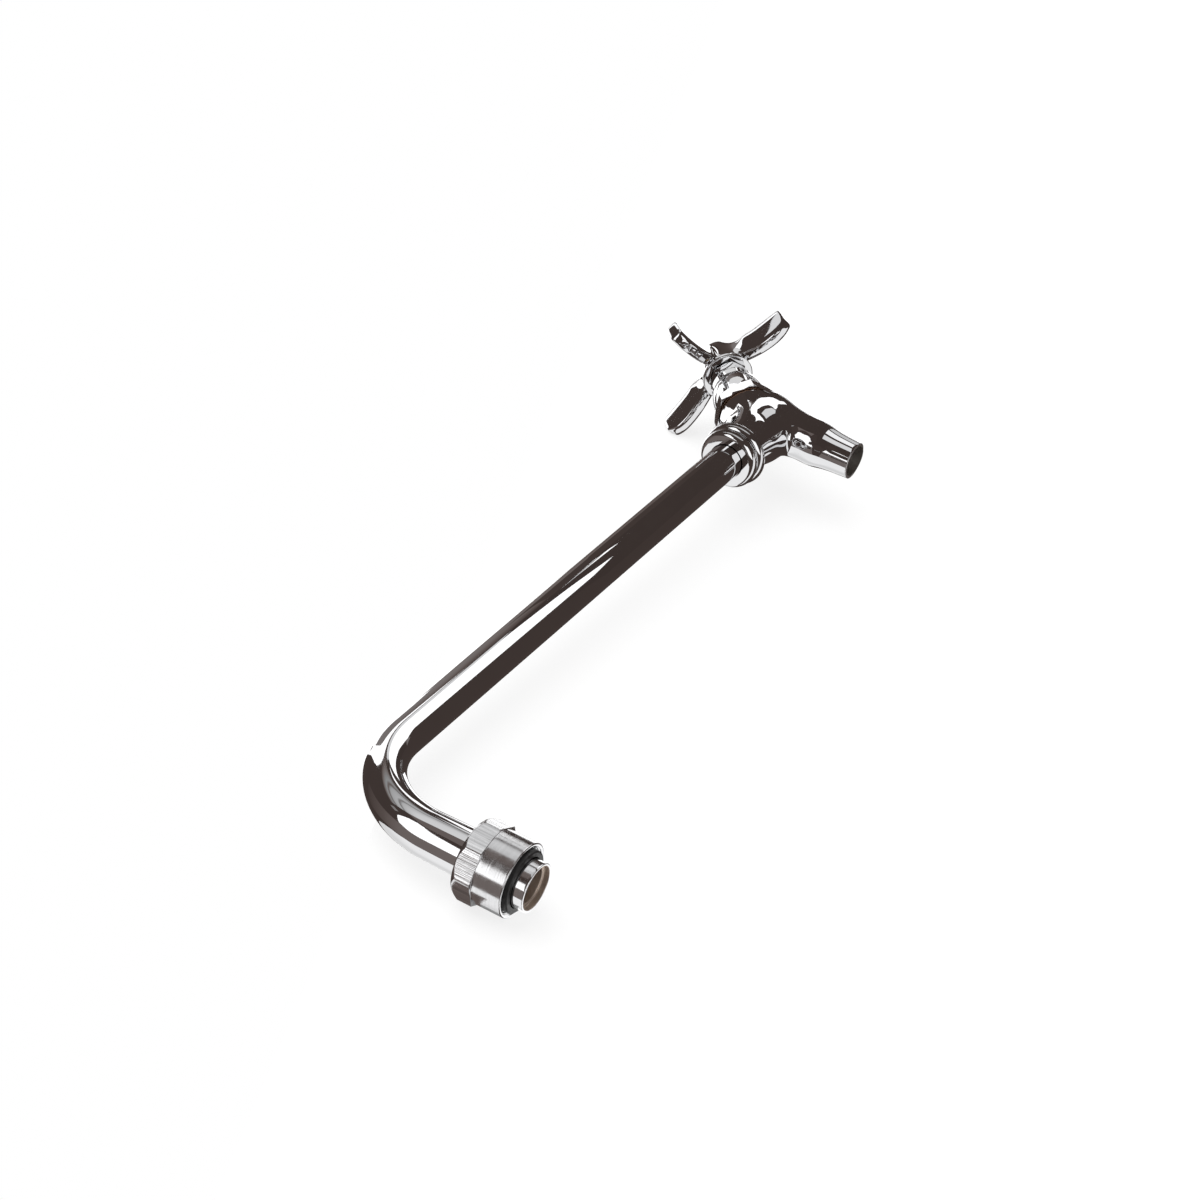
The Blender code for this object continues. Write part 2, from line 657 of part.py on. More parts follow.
def bonnet(axis):
    """Hexagon with a domed top, a threaded stub below and the packing box above."""
    corner = BONNET_FLATS / 2 / math.cos(math.pi / 6)
    thread = BONNET_THREAD_OD / 2
    nose = BONNET_NOSE_OD / 2
    made = prism("bonnet", 6, BONNET_FLATS, BONNET_D, BONNET_DOME_D, 0.0, CHROME, axis)
    trim(made, turned("bonnet_corners", [
        (0.0, BONNET_DOME_D),
        (corner - 2 * BONNET_EDGE, BONNET_DOME_D),
        (corner, BONNET_DOME_D - BONNET_EDGE),
        (corner, BONNET_D),
        (0.0, BONNET_D),
    ], axis=axis))
    foot = BONNET_FLATS / 2 - BONNET_EDGE
    seat = BONNET_D + BONNET_EDGE
    shoulder = BONNET_DOME_OD / 2
    dome = [(0.0, BONNET_TOP_D), (nose, BONNET_TOP_D), (nose, BONNET_NOSE_D)]
    for i in range(DOME_STEPS + 1):
        angle = math.pi / 2 * i / DOME_STEPS
        dome.append((shoulder + (foot - shoulder) * math.sin(angle),
                     BONNET_DOME_D + BONNET_DOME * math.cos(angle)))
    dome += [(foot, seat), (thread, seat), (thread, BONNET_STUB_D), (0.0, BONNET_STUB_D)]
    join(made, turned("bonnet_dome", dome, axis=axis))
    screw = STEM_THREAD_OD / 2 + GAP
    shaft = STEM_OD / 2 + GAP
    screw_top = STEM_SHAFT_D + STEM_RISE + GAP
    cavity = HOLDER_TOP_D + STEM_RISE + GAP
    cut(made, turned("bonnet_bore", [
        (0.0, BONNET_TOP_D + OVERCUT),
        (PACKING_BOX / 2, BONNET_TOP_D + OVERCUT),
        (PACKING_BOX / 2, PACKING_BOX_D),
        (shaft, PACKING_BOX_D),
        (shaft, screw_top),
        (screw, screw_top),
        (screw, cavity),
        (thread - BONNET_STUB_WALL, cavity),
        (thread - BONNET_STUB_WALL, BONNET_STUB_D - OVERCUT),
        (0.0, BONNET_STUB_D - OVERCUT),
    ], axis=axis, steps=SMALL_ROUND))
    shade(made)
    return made


def bonnet_rings(axis):
    """The gasket under the bonnet and the packing with its washer and gland."""
    thread = BONNET_THREAD_OD / 2 + GAP
    shaft = STEM_OD / 2 + GAP
    box = PACKING_BOX / 2 - GAP
    turned("bonnet_gasket", ring(BARREL_OD / 2 - GAP, thread, GASKET_D, GASKET_D + GASKET),
           FIBRE, axis, SMALL_ROUND)
    turned("packing_washer", ring(box, shaft, PACKING_WASHER_D, PACKING_WASHER_D + PACKING_WASHER),
           BRASS, axis, SMALL_ROUND)
    turned("stem_packing", ring(box, shaft, PACKING_D, PACKING_D + PACKING_RING),
           PACKING, axis, SMALL_ROUND)
    turned("packing_gland", ring(box, shaft, GLAND_D, GLAND_TOP_D), BRASS, axis, SMALL_ROUND)


def packing_nut(axis):
    corner = PACKING_NUT_FLATS / 2 / math.cos(math.pi / 6)
    edge = corner - PACKING_NUT_FLATS / 2
    foot = PACKING_NUT_D + PACKING_NUT_RIM / 2
    nut = prism("packing_nut", 6, PACKING_NUT_FLATS, foot, PACKING_NUT_TOP_D, 0.0, CHROME, axis)
    trim(nut, turned("packing_nut_corners", [
        (0.0, PACKING_NUT_TOP_D),
        (corner - edge, PACKING_NUT_TOP_D),
        (corner, PACKING_NUT_TOP_D - edge),
        (corner, PACKING_NUT_D),
        (0.0, PACKING_NUT_D),
    ], axis=axis))
    wall = PACKING_NUT_TOP_D - PACKING_NUT_TOP
    join(nut, turned("packing_nut_rim", [
        (0.0, PACKING_NUT_D + PACKING_NUT_RIM + edge),
        (PACKING_NUT_FLATS / 2, PACKING_NUT_D + PACKING_NUT_RIM + edge),
        (PACKING_NUT_RIM_OD / 2, PACKING_NUT_D + PACKING_NUT_RIM),
        (PACKING_NUT_RIM_OD / 2, PACKING_NUT_D),
        (0.0, PACKING_NUT_D),
    ], axis=axis))
    cut(nut, turned("packing_nut_bore", [
        (0.0, PACKING_NUT_TOP_D + OVERCUT),
        (STEM_OD / 2 + GAP, PACKING_NUT_TOP_D + OVERCUT),
        (STEM_OD / 2 + GAP, wall),
        (BONNET_NOSE_OD / 2 + GAP, wall),
        (BONNET_NOSE_OD / 2 + GAP, PACKING_NUT_D - OVERCUT),
        (0.0, PACKING_NUT_D - OVERCUT),
    ], axis=axis, steps=SMALL_ROUND))
    return nut


def disc_pieces(axis):
    """The cup that slides with the stem without turning, its washer, screw and spring ring."""
    rim = SEAT_WASHER_OD / 2 + GAP
    hole = WASHER_SCREW_OD / 2 + GAP
    lip_low = HOLDER_DISC_D - HOLDER_LIP
    socket = STEM_NOSE_OD / 2 + GAP
    boss = socket + HOLDER_WALL
    groove = socket + CLIP_WIRE / 2
    clip_d = STEM_NOSE_D + STEM_NOSE / 2
    turned("disc_holder", [
        (boss, HOLDER_TOP_D),
        (boss, HOLDER_BOSS_D),
        (HOLDER_OD / 2, HOLDER_BOSS_D),
        (HOLDER_OD / 2, lip_low),
        (rim, lip_low),
        (rim, HOLDER_DISC_D),
        (hole, HOLDER_DISC_D),
        (hole, HOLDER_BOSS_D),
        (socket, STEM_NOSE_D - GAP),
        (socket, clip_d - CLIP_WIRE / 2 - GAP),
        (groove + GAP, clip_d - CLIP_WIRE / 2 - GAP),
        (groove + GAP, clip_d + CLIP_WIRE / 2 + GAP),
        (socket, clip_d + CLIP_WIRE / 2 + GAP),
        (socket, HOLDER_TOP_D),
    ], BRASS, axis, SMALL_ROUND)
    bpy.ops.mesh.primitive_torus_add(major_radius=groove - CLIP_WIRE / 2, minor_radius=CLIP_WIRE / 2,
                                     major_segments=SMALL_ROUND, minor_segments=WIRE_ROUND)
    clip = bpy.context.object
    clip.name = "holder_clip"
    clip.data.name = "holder_clip"
    for collection in list(clip.users_collection):
        collection.objects.unlink(clip)
    PARTS.objects.link(clip)
    clip.data.materials.append(finish_of("holder_clip", STEEL))
    clip.parent = axis
    clip.location = (0.0, 0.0, clip_d)
    turned("seat_washer", ring(SEAT_WASHER_OD / 2, hole, SEAT_WASHER_D, SEAT_WASHER_D + SEAT_WASHER),
           BLACK_RUBBER, axis, SMALL_ROUND)
    head = SEAT_WASHER_D - GAP
    screw = turned("washer_screw", [
        (0.0, head + WASHER_SCREW),
        (WASHER_SCREW_OD / 2, head + WASHER_SCREW),
        (WASHER_SCREW_OD / 2, head),
        (WASHER_SCREW_HEAD_OD / 2, head),
        (WASHER_SCREW_HEAD_OD / 2 - WASHER_SCREW_EDGE, head - WASHER_SCREW_HEAD),
        (0.0, head - WASHER_SCREW_HEAD),
    ], BRASS, axis, SMALL_ROUND)
    return screw


def stem(axis):
    """Nose, thread and shaft turned in one, with a square end for the handle."""
    groove = STEM_NOSE_OD / 2 - CLIP_WIRE / 2
    clip_d = STEM_NOSE_D + STEM_NOSE / 2
    notch = CLIP_WIRE / 2 + GAP
    made = turned("stem", [
        (0.0, HUB_FLOOR_D),
        (STEM_OD / 2, HUB_FLOOR_D),
        (STEM_OD / 2, STEM_SHAFT_D),
        (STEM_THREAD_OD / 2, STEM_SHAFT_D),
        (STEM_THREAD_OD / 2, STEM_THREAD_D),
        (STEM_NOSE_OD / 2, STEM_THREAD_D),
        (STEM_NOSE_OD / 2, clip_d + notch),
        (groove - GAP, clip_d + notch),
        (groove - GAP, clip_d - notch),
        (STEM_NOSE_OD / 2, clip_d - notch),
        (STEM_NOSE_OD / 2, STEM_NOSE_D),
        (0.0, STEM_NOSE_D),
    ], BRASS, axis, SMALL_ROUND)
    join(made, prism("stem_square", 4, STEM_SQUARE, HUB_FLOOR_D - OVERCUT, STEM_TOP_D,
                     math.radians(45.0), axis=axis))
    tip = HANDLE_HEAD_D - HANDLE_SCREW - GAP
    cut(made, turned("stem_screw_hole", rod(HANDLE_SCREW_OD / 2 + GAP, tip, STEM_TOP_D + OVERCUT),
                     axis=axis, steps=SCREW_ROUND))
    return made


def arm_stations():
    """Stations along an arm of the handle: distance from the axis, underside and top above the hub's rim."""
    tip = HANDLE_SPAN / 2
    return [
        (tip - ARM_WAIST_INSET - ARM_WIDTH, 0.0, ARM_ROOT_TOP),
        (tip - ARM_WAIST_INSET, -ARM_WAIST_DROP, ARM_WAIST_TOP),
        (tip - ARM_BELLY_INSET, -ARM_BELLY, ARM_BELLY_TOP),
        (tip - ARM_TIP_RISE, -ARM_TIP_DROP, ARM_TIP_TOP),
        (tip, ARM_TIP_RISE - ARM_BELLY, ARM_TIP_TOP - ARM_TIP_EDGE),
    ]


def handle_cage():
    """A coarse cage of the cross handle: hub rings, with the arms drawn out of the faces between them."""
    shape = bmesh.new()
    crease = shape.edges.layers.float.new("crease_edge")
    rings = [
        (HUB_OD / 2, HUB_D),
        (HUB_OD / 2, HUB_D + ARM_ROOT_RISE),
        (HUB_CROWN_OD / 2 + HUB_WEB / 2, HUB_TOP_D - HUB_WEB),
        (HUB_CROWN_OD / 2, HUB_TOP_D),
    ]
    arm_angles = [2 * math.pi * i / HANDLE_ARMS for i in range(HANDLE_ARMS)]
    rows = []
    for radius, height in rings:
        spread = math.asin(ARM_WIDTH / 2 / radius) * ARM_ROOT_SPREAD
        row = []
        for angle in arm_angles:
            for side in (-spread, spread):
                row.append(shape.verts.new((radius * math.cos(angle + side),
                                            radius * math.sin(angle + side), height)))
        rows.append(row)
    count = len(rows[0])
    roots = []
    for low, high in zip(rows, rows[1:]):
        for i in range(count):
            j = (i + 1) % count
            face = shape.faces.new((low[i], low[j], high[j], high[i]))
            if low is rows[1] and i % 2 == 0:
                roots.append((face, arm_angles[i // 2]))
    shape.faces.new(list(reversed(rows[0])))
    shape.faces.new(rows[-1])
    for row, sharpness in ((rows[0], RIM_CREASE), (rows[-1], CROWN_CREASE)):
        for i in range(count):
            shape.edges.get((row[i], row[(i + 1) % count]))[crease] = sharpness
    for face, angle in roots:
        for radius, low, high in arm_stations():
            face = bmesh.ops.extrude_discrete_faces(shape, faces=[face])["faces"][0]
            corners = sorted(face.verts, key=lambda vert: vert.co.z)
            for pair, height in ((corners[:2], low), (corners[2:], high)):
                for vert in pair:
                    flat = Matrix.Rotation(-angle, 3, "Z") @ vert.co
                    side = math.copysign(ARM_WIDTH / 2, flat.y)
                    vert.co = Matrix.Rotation(angle, 3, "Z") @ Vector((radius, side, HUB_D + height))
        for edge in face.edges:
            edge[crease] = TIP_CREASE
    bmesh.ops.recalc_face_normals(shape, faces=shape.faces)
    for edge in shape.edges:
        first, second = (vert.co.xy.length for vert in edge.verts)
        if min(first, second) > HUB_OD / 2 and abs(first - second) > GAP:
            edge[crease] = ARM_CREASE
    mesh = bpy.data.meshes.new("handle")
    shape.to_mesh(mesh)
    shape.free()
    return mesh


def handle(axis):
    """The cross handle, hollow under the hub, with a square hole and a recess for screw and button."""
    made = add_object("handle", handle_cage(), CHROME, axis)
    round_off = made.modifiers.new("Round", "SUBSURF")
    round_off.levels = HANDLE_ROUNDS
    round_off.render_levels = HANDLE_ROUNDS
    made.data.shade_smooth()
    skirt = HUB_OD / 2 - HUB_SKIRT_WALL
    cut(made, turned("hub_hollow", [
        (0.0, HUB_FLOOR_D + GAP),
        (skirt - HUB_WEB, HUB_FLOOR_D + GAP),
        (skirt, HUB_D + HUB_SKIRT / 2),
        (skirt, HUB_D - OVERCUT),
        (0.0, HUB_D - OVERCUT),
    ], axis=axis, steps=SMALL_ROUND))
    cut(made, prism("hub_square", 4, STEM_SQUARE + 2 * GAP, HUB_D - OVERCUT, SCREW_WEB_D,
                    math.radians(45.0), axis=axis))
    cut(made, turned("hub_recess", [
        (0.0, HUB_TOP_D + OVERCUT),
        (BUTTON_OD / 2 + GAP, HUB_TOP_D + OVERCUT),
        (BUTTON_OD / 2 + GAP, BUTTON_D - GAP),
        (HANDLE_SCREW_HEAD_OD / 2 + GAP, BUTTON_D - GAP),
        (HANDLE_SCREW_HEAD_OD / 2 + GAP, SCREW_WEB_D + HUB_WEB),
        (HANDLE_SCREW_OD / 2 + GAP, SCREW_WEB_D + HUB_WEB),
        (HANDLE_SCREW_OD / 2 + GAP, HUB_FLOOR_D),
        (0.0, HUB_FLOOR_D),
    ], axis=axis, steps=SMALL_ROUND))
    return made


def handle_fasteners(axis):
    shank = HANDLE_SCREW_OD / 2
    head = HANDLE_SCREW_HEAD_OD / 2
    turned("handle_washer", ring(head - GAP, shank + GAP, HANDLE_WASHER_D, HANDLE_WASHER_D + HANDLE_WASHER),
           STEEL, axis, SMALL_ROUND)
    turned("handle_screw", [
        (0.0, HANDLE_HEAD_D + HANDLE_SCREW_HEAD),
        (head - HANDLE_SCREW_HEAD / 2, HANDLE_HEAD_D + HANDLE_SCREW_HEAD),
        (head, HANDLE_HEAD_D + HANDLE_SCREW_HEAD / 2),
        (head, HANDLE_HEAD_D),
        (shank, HANDLE_HEAD_D),
        (shank, HANDLE_HEAD_D - HANDLE_SCREW),
        (0.0, HANDLE_HEAD_D - HANDLE_SCREW),
    ], STEEL, axis, SMALL_ROUND)
    turned("index_button", [
        (0.0, BUTTON_D + BUTTON),
        (BUTTON_OD / 2 - BUTTON, BUTTON_D + 2 * BUTTON_EDGE),
        (BUTTON_OD / 2, BUTTON_D + BUTTON_EDGE),
        (BUTTON_OD / 2, BUTTON_D),
        (0.0, BUTTON_D),
    ], CHROME, axis, SMALL_ROUND)


def main():
    swing_axis = add_axis("swing_axis", (0.0, 0.0, 0.0))
    arm_axis = add_axis("arm_axis", (COLLAR_X, 0.0, ARM_HEIGHT), (0.0, math.pi / 2, 0.0))
    outlet_axis = add_axis("outlet_axis", (ARM_REACH, 0.0, ARM_HEIGHT))
    stem_axis = add_axis("stem_axis", (STEM_FOOT_X, 0.0, ARM_HEIGHT), (0.0, STEM_TILT, 0.0))
    handle_axis = add_axis("handle_axis", (STEM_FOOT_X, 0.0, ARM_HEIGHT), (0.0, STEM_TILT, 0.0))
    handle_axis.rotation_mode = "QUATERNION"
    slant = Matrix.Rotation(STEM_TILT, 3, "Y") @ Matrix.Rotation(HANDLE_TURN, 3, "Z")
    handle_axis.rotation_quaternion = slant.to_quaternion()
    swivel_nut()
    swivel_washers()
    spigot(swing_axis)
    spout_tube()
    valve_body(arm_axis, stem_axis, outlet_axis)
    valve_seat(stem_axis)
    bonnet(stem_axis)
    bonnet_rings(stem_axis)
    packing_nut(stem_axis)
    disc_pieces(stem_axis)
    stem(handle_axis)
    handle(handle_axis)
    handle_fasteners(handle_axis)


main()
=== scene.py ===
"""Looks of the hose bib on its swing arm: chrome, brass and rubber under a studio of white cards.

The arm runs along +X from the swivel axis Z. In the photograph the piece lies on its side, so the
floor stands on the +Y side, touching the nut and the handle.
"""

import json
import math

import bmesh
import bpy
import numpy as np
from mathutils import Matrix, Vector

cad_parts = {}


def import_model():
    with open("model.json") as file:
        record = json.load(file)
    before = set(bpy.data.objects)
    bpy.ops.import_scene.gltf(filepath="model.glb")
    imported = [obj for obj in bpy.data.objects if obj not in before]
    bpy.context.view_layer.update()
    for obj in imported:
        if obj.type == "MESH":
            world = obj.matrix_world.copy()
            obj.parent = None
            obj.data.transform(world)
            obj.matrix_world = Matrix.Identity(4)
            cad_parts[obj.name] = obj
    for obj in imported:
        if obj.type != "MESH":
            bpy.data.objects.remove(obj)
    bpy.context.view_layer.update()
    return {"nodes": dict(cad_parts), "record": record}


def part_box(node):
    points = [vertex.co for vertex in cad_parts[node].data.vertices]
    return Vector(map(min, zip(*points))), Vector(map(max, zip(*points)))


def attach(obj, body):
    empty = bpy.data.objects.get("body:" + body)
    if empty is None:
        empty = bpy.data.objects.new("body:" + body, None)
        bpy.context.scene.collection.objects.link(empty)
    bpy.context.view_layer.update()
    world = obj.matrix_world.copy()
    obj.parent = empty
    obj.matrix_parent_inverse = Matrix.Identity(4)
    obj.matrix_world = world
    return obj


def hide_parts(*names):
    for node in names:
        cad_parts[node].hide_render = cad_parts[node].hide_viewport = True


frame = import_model()
MM = 0.001
ON_AXIS = 1e-7

# Camera, with its lens and sensor in millimetres
CAMERA_PLACE = Vector((-0.46488, -0.46969, -0.24122))
CAMERA_FORWARD = Vector((0.73221, 0.57701, 0.36185))
CAMERA_UP = Vector((0.44802, -0.80821, 0.38220))
CAMERA_LENS = 74.454
SENSOR = 36.0

# Arm
ARM_REACH = 267.0 * MM
ARM_HEIGHT = 62.6 * MM
TUBE_OD = 12.7 * MM
LEG_OD = 15.2 * MM
TUBE_WALL = 1.2 * MM
BEND_RADIUS = 32.0 * MM
TUBE_FOOT = 9.7 * MM
COLLAR_X = ARM_REACH - 32.0 * MM
SOCKET_DEPTH = 15.0 * MM

# Swivel nut
NUT_OD = 23.4 * MM
NUT_FLATS = 23.9 * MM
NUT_SKIRT = 9.8 * MM
NUT_LENGTH = 16.4 * MM
NUT_SHOULDER = 11.5 * MM
NUT_BORE = 20.2 * MM
NUT_TURN = math.radians(6.0)
NUT_SIDES = 8
THREAD_PITCH = 0.95 * MM
THREAD_DEPTH = 0.55 * MM
SPIGOT_OD = 15.4 * MM
NOSE_WALL = 0.8 * MM

# Valve casting
STEM_TILT = math.radians(45.0)
STEM_FOOT = Vector((ARM_REACH - 7.1 * MM, 0.0, ARM_HEIGHT))
COLLAR_LAND = 4.4 * MM
COLLAR_RADIUS = 9.3 * MM
BODY_RADIUS = 10.2 * MM
BULB_LEAD = 3.2 * MM
BULB_RISE = 1.0 * MM
BULB_RADIUS = 10.1 * MM
OUTLET_DROP = 36.2 * MM
OUTLET_OD = 13.6 * MM
OUTLET_BORE_RADIUS = OUTLET_OD / 2 - 0.9 * MM
SPOUT_WAIST_DROP = 20.0 * MM
SPOUT_WAIST_RADIUS = 7.8 * MM
SPOUT_BORE_RADIUS = 4.8 * MM
SPOUT_TAPER = OUTLET_DROP - SPOUT_WAIST_DROP
NECK_TOP = 12.0 * MM
NECK_RADIUS = 11.3 * MM
NECK_BORE_RADIUS = 8.3 * MM
CASTING_BLEND = 4.5 * MM
CASTING_GRAIN = 0.6 * MM
OVERCUT = 2.0 * MM
GAP = 0.3 * MM

# Hexagons of the bonnet and the packing nut
HEX_SIDES = 6
HEX_TURN = math.radians(30.0)
FLAT_EASE = 0.04 * MM

# Handle
HUB_LOW = 40.0 * MM
HUB_RIM = 9.8 * MM
HUB_RING_BORE = 7.9 * MM
HANDLE_TIP = 61.8 * MM / 2
BLADE_WIDTH = 5.0 * MM

STEM_AXIS = Matrix.Translation(STEM_FOOT) @ Matrix.Rotation(STEM_TILT, 4, "Y")
HANDLE_AXIS = STEM_AXIS @ Matrix.Rotation(math.radians(39.0), 4, "Z")
OUTLET_AXIS = Matrix.Translation((ARM_REACH, 0.0, ARM_HEIGHT))
LIP_AXIS = OUTLET_AXIS @ Matrix.Translation((0.0, 0.0, -OUTLET_DROP))
SPOUT_AXIS = LIP_AXIS @ Matrix.Rotation(math.atan2(BULB_LEAD, OUTLET_DROP + BULB_RISE), 4, "Y")
ARM_AXIS = Matrix.Translation((COLLAR_X, 0.0, ARM_HEIGHT)) @ Matrix.Rotation(math.pi / 2, 4, "Y")


def place_object(name, data):
    """Puts an object with this data in the scene."""
    made = bpy.data.objects.new(name, data)
    bpy.context.scene.collection.objects.link(made)
    return made


def add_piece(name, mesh, body, slot, nodes=(), material=None):
    """Adds a mesh to its body, for the nodes that it stands for, in its slot's or another material."""
    piece = place_object(name, mesh)
    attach(piece, body)
    if nodes:
        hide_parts(*nodes)
    mesh.materials.append(material or MATERIALS[slot])


def smooth(mesh, angle=40.0):
    """Smooth shading, in which edges over this angle in degrees stay sharp."""
    mesh.shade_smooth()
    mesh.set_sharp_from_angle(angle=math.radians(angle))


def eased(profile, radius, steps=5):
    """The same profile with its corners rounded. The first and the last point stay."""
    points = [Vector(point) for point in profile]
    result = [points[0]]
    for before, corner, after in zip(points, points[1:], points[2:]):
        reach = min(radius, 0.45 * (before - corner).length, 0.45 * (after - corner).length)
        start = corner + (before - corner).normalized() * reach
        end = corner + (after - corner).normalized() * reach
        for i in range(steps + 1):
            u = i / steps
            result.append(start * (1 - u) ** 2 + corner * 2 * u * (1 - u) + end * u * u)
    return [tuple(point) for point in result + [points[-1]]]


def divided(profile, length):
    """The same profile with points at most this far apart."""
    result = [profile[0]]
    for start, end in zip(profile, profile[1:]):
        count = max(1, math.ceil(math.dist(start, end) / length))
        for i in range(1, count + 1):
            result.append(tuple(a + (b - a) * i / count for a, b in zip(start, end)))
    return result


def mesh_of(shape, name):
    """The mesh of a finished bmesh, with its faces turned outwards."""
    bmesh.ops.recalc_face_normals(shape, faces=shape.faces)
    mesh = bpy.data.meshes.new(name)
    shape.to_mesh(mesh)
    shape.free()
    return mesh


def lathe(name, profile, steps=96, place=None, turn=0.0, form=None, sharp=40.0):
    """Turns a profile of (radius, height) pairs round Z. A closed one has no point on the axis.

    form(radius, height, angle) may give another radius for a point, for flats or a thread.
    """
    shape = bmesh.new()
    angles = [turn + 2 * math.pi * i / steps for i in range(steps)]
    rings = []
    for radius, height in profile:
        if radius < ON_AXIS:
            rings.append([shape.verts.new((0.0, 0.0, height))] * steps)
            continue
        row = []
        for angle in angles:
            here = form(radius, height, angle) if form else radius
            row.append(shape.verts.new((here * math.cos(angle), here * math.sin(angle), height)))
        rings.append(row)
    pairs = list(zip(rings, rings[1:]))
    if profile[0][0] > ON_AXIS:
        pairs.append((rings[-1], rings[0]))
    for upper, lower in pairs:
        for i in range(steps):
            j = (i + 1) % steps
            corners = []
            for vert in (upper[i], lower[i], lower[j], upper[j]):
                if vert not in corners:
                    corners.append(vert)
            if len(corners) > 2:
                shape.faces.new(corners)
    mesh = mesh_of(shape, name)
    if place is not None:
        mesh.transform(place)
    smooth(mesh, sharp)
    return mesh


def flats_limit(sides, across, turn, softness):
    """A radius limit for lathe: a bar of so many flats with slightly eased corners."""
    def limit(radius, angle):
        share = (angle - turn) % (2 * math.pi / sides) - math.pi / sides
        flat = across / 2 / math.cos(share)
        mean = -softness * math.log(math.exp(-(radius - flat) / softness) + 1.0)
        return flat + mean
    return limit


# Materials

def new_material(name):
    """A new material with its nodes and links."""
    material = bpy.data.materials.new(name)
    material.use_nodes = True
    return material, material.node_tree.nodes, material.node_tree.links


def add_node(nodes, kind, **values):
    """A shader node with its settings and input values. Names with a capital letter are inputs."""
    node = nodes.new(kind)
    for key, value in values.items():
        if key[0].isupper():
            node.inputs[key.replace("_", " ")].default_value = value
        else:
            setattr(node, key, value)
    return node


def noise_of(nodes, links, scale, stretch=(1.0, 1.0, 1.0), detail=4.0):
    """Noise in the object's own place, stretched by the scale of its coordinates."""
    place = add_node(nodes, "ShaderNodeTexCoord")
    mapping = add_node(nodes, "ShaderNodeMapping", Scale=stretch)
    noise = add_node(nodes, "ShaderNodeTexNoise", Scale=scale, Detail=detail)
    links.new(place.outputs["Object"], mapping.inputs["Vector"])
    links.new(mapping.outputs["Vector"], noise.inputs["Vector"])
    return noise


def ranged(nodes, links, source, low, high, to_low, to_high):
    """A value spread from one range to another."""
    spread = add_node(nodes, "ShaderNodeMapRange", From_Min=low, From_Max=high,
                      To_Min=to_low, To_Max=to_high)
    links.new(source, spread.inputs["Value"])
    return spread.outputs["Result"]


def noisy(nodes, links, noise, low, high):
    """A value that wanders from low to high with a noise, which itself stays mostly in 0.3 to 0.7."""
    return ranged(nodes, links, noise.outputs["Fac"], 0.3, 0.7, low, high)


def tinted(nodes, links, factor, first, second):
    """A colour between two others."""
    mix = add_node(nodes, "ShaderNodeMix", data_type="RGBA")
    mix.inputs["A"].default_value = (*first, 1.0)
    mix.inputs["B"].default_value = (*second, 1.0)
    links.new(factor, mix.inputs["Factor"])
    return mix.outputs["Result"]


def mixed(nodes, links, factor, first, second):
    """A shader between two others."""
    mix = add_node(nodes, "ShaderNodeMixShader")
    links.new(factor, mix.inputs["Fac"])
    links.new(first, mix.inputs[1])
    links.new(second, mix.inputs[2])
    return mix.outputs["Shader"]


def add_relief(nodes, links, height, strength, distance):
    """Fine bumps on a surface."""
    relief = add_node(nodes, "ShaderNodeBump", Strength=strength, Distance=distance)
    links.new(height, relief.inputs["Height"])
    links.new(relief.outputs["Normal"], nodes["Principled BSDF"].inputs["Normal"])


def metal(name, dark, light, rough_low, rough_high, grain=90.0):
    """A metal whose colour and polish vary a little."""
    material, nodes, links = new_material(name)
    shader = nodes["Principled BSDF"]
    shader.inputs["Metallic"].default_value = 1.0
    cloud = noise_of(nodes, links, grain)
    links.new(tinted(nodes, links, cloud.outputs["Fac"], dark, light), shader.inputs["Base Color"])
    haze = noise_of(nodes, links, grain * 2.3, detail=6.0)
    links.new(noisy(nodes, links, haze, rough_low, rough_high), shader.inputs["Roughness"])
    return material


def matt(name, dark, light, roughness, grain, bump):
    """A dull material whose colour, polish and relief follow one noise."""
    material, nodes, links = new_material(name)
    shader = nodes["Principled BSDF"]
    cloud = noise_of(nodes, links, grain, detail=8.0)
    links.new(tinted(nodes, links, cloud.outputs["Fac"], dark, light), shader.inputs["Base Color"])
    links.new(noisy(nodes, links, cloud, roughness - 0.1, roughness + 0.1), shader.inputs["Roughness"])
    add_relief(nodes, links, cloud.outputs["Fac"], bump, 0.1 * MM)
    return material


def radius_share(nodes, links, radius):
    """0 inside this distance from the swivel axis and 1 outside it."""
    edge = 0.01 * MM
    place = add_node(nodes, "ShaderNodeTexCoord")
    level = add_node(nodes, "ShaderNodeVectorMath", operation="MULTIPLY")
    level.inputs[1].default_value = (1.0, 1.0, 0.0)
    size = add_node(nodes, "ShaderNodeVectorMath", operation="LENGTH")
    links.new(place.outputs["Object"], level.inputs[0])
    links.new(level.outputs["Vector"], size.inputs[0])
    return ranged(nodes, links, size.outputs["Value"], radius - edge, radius + edge, 0.0, 1.0)


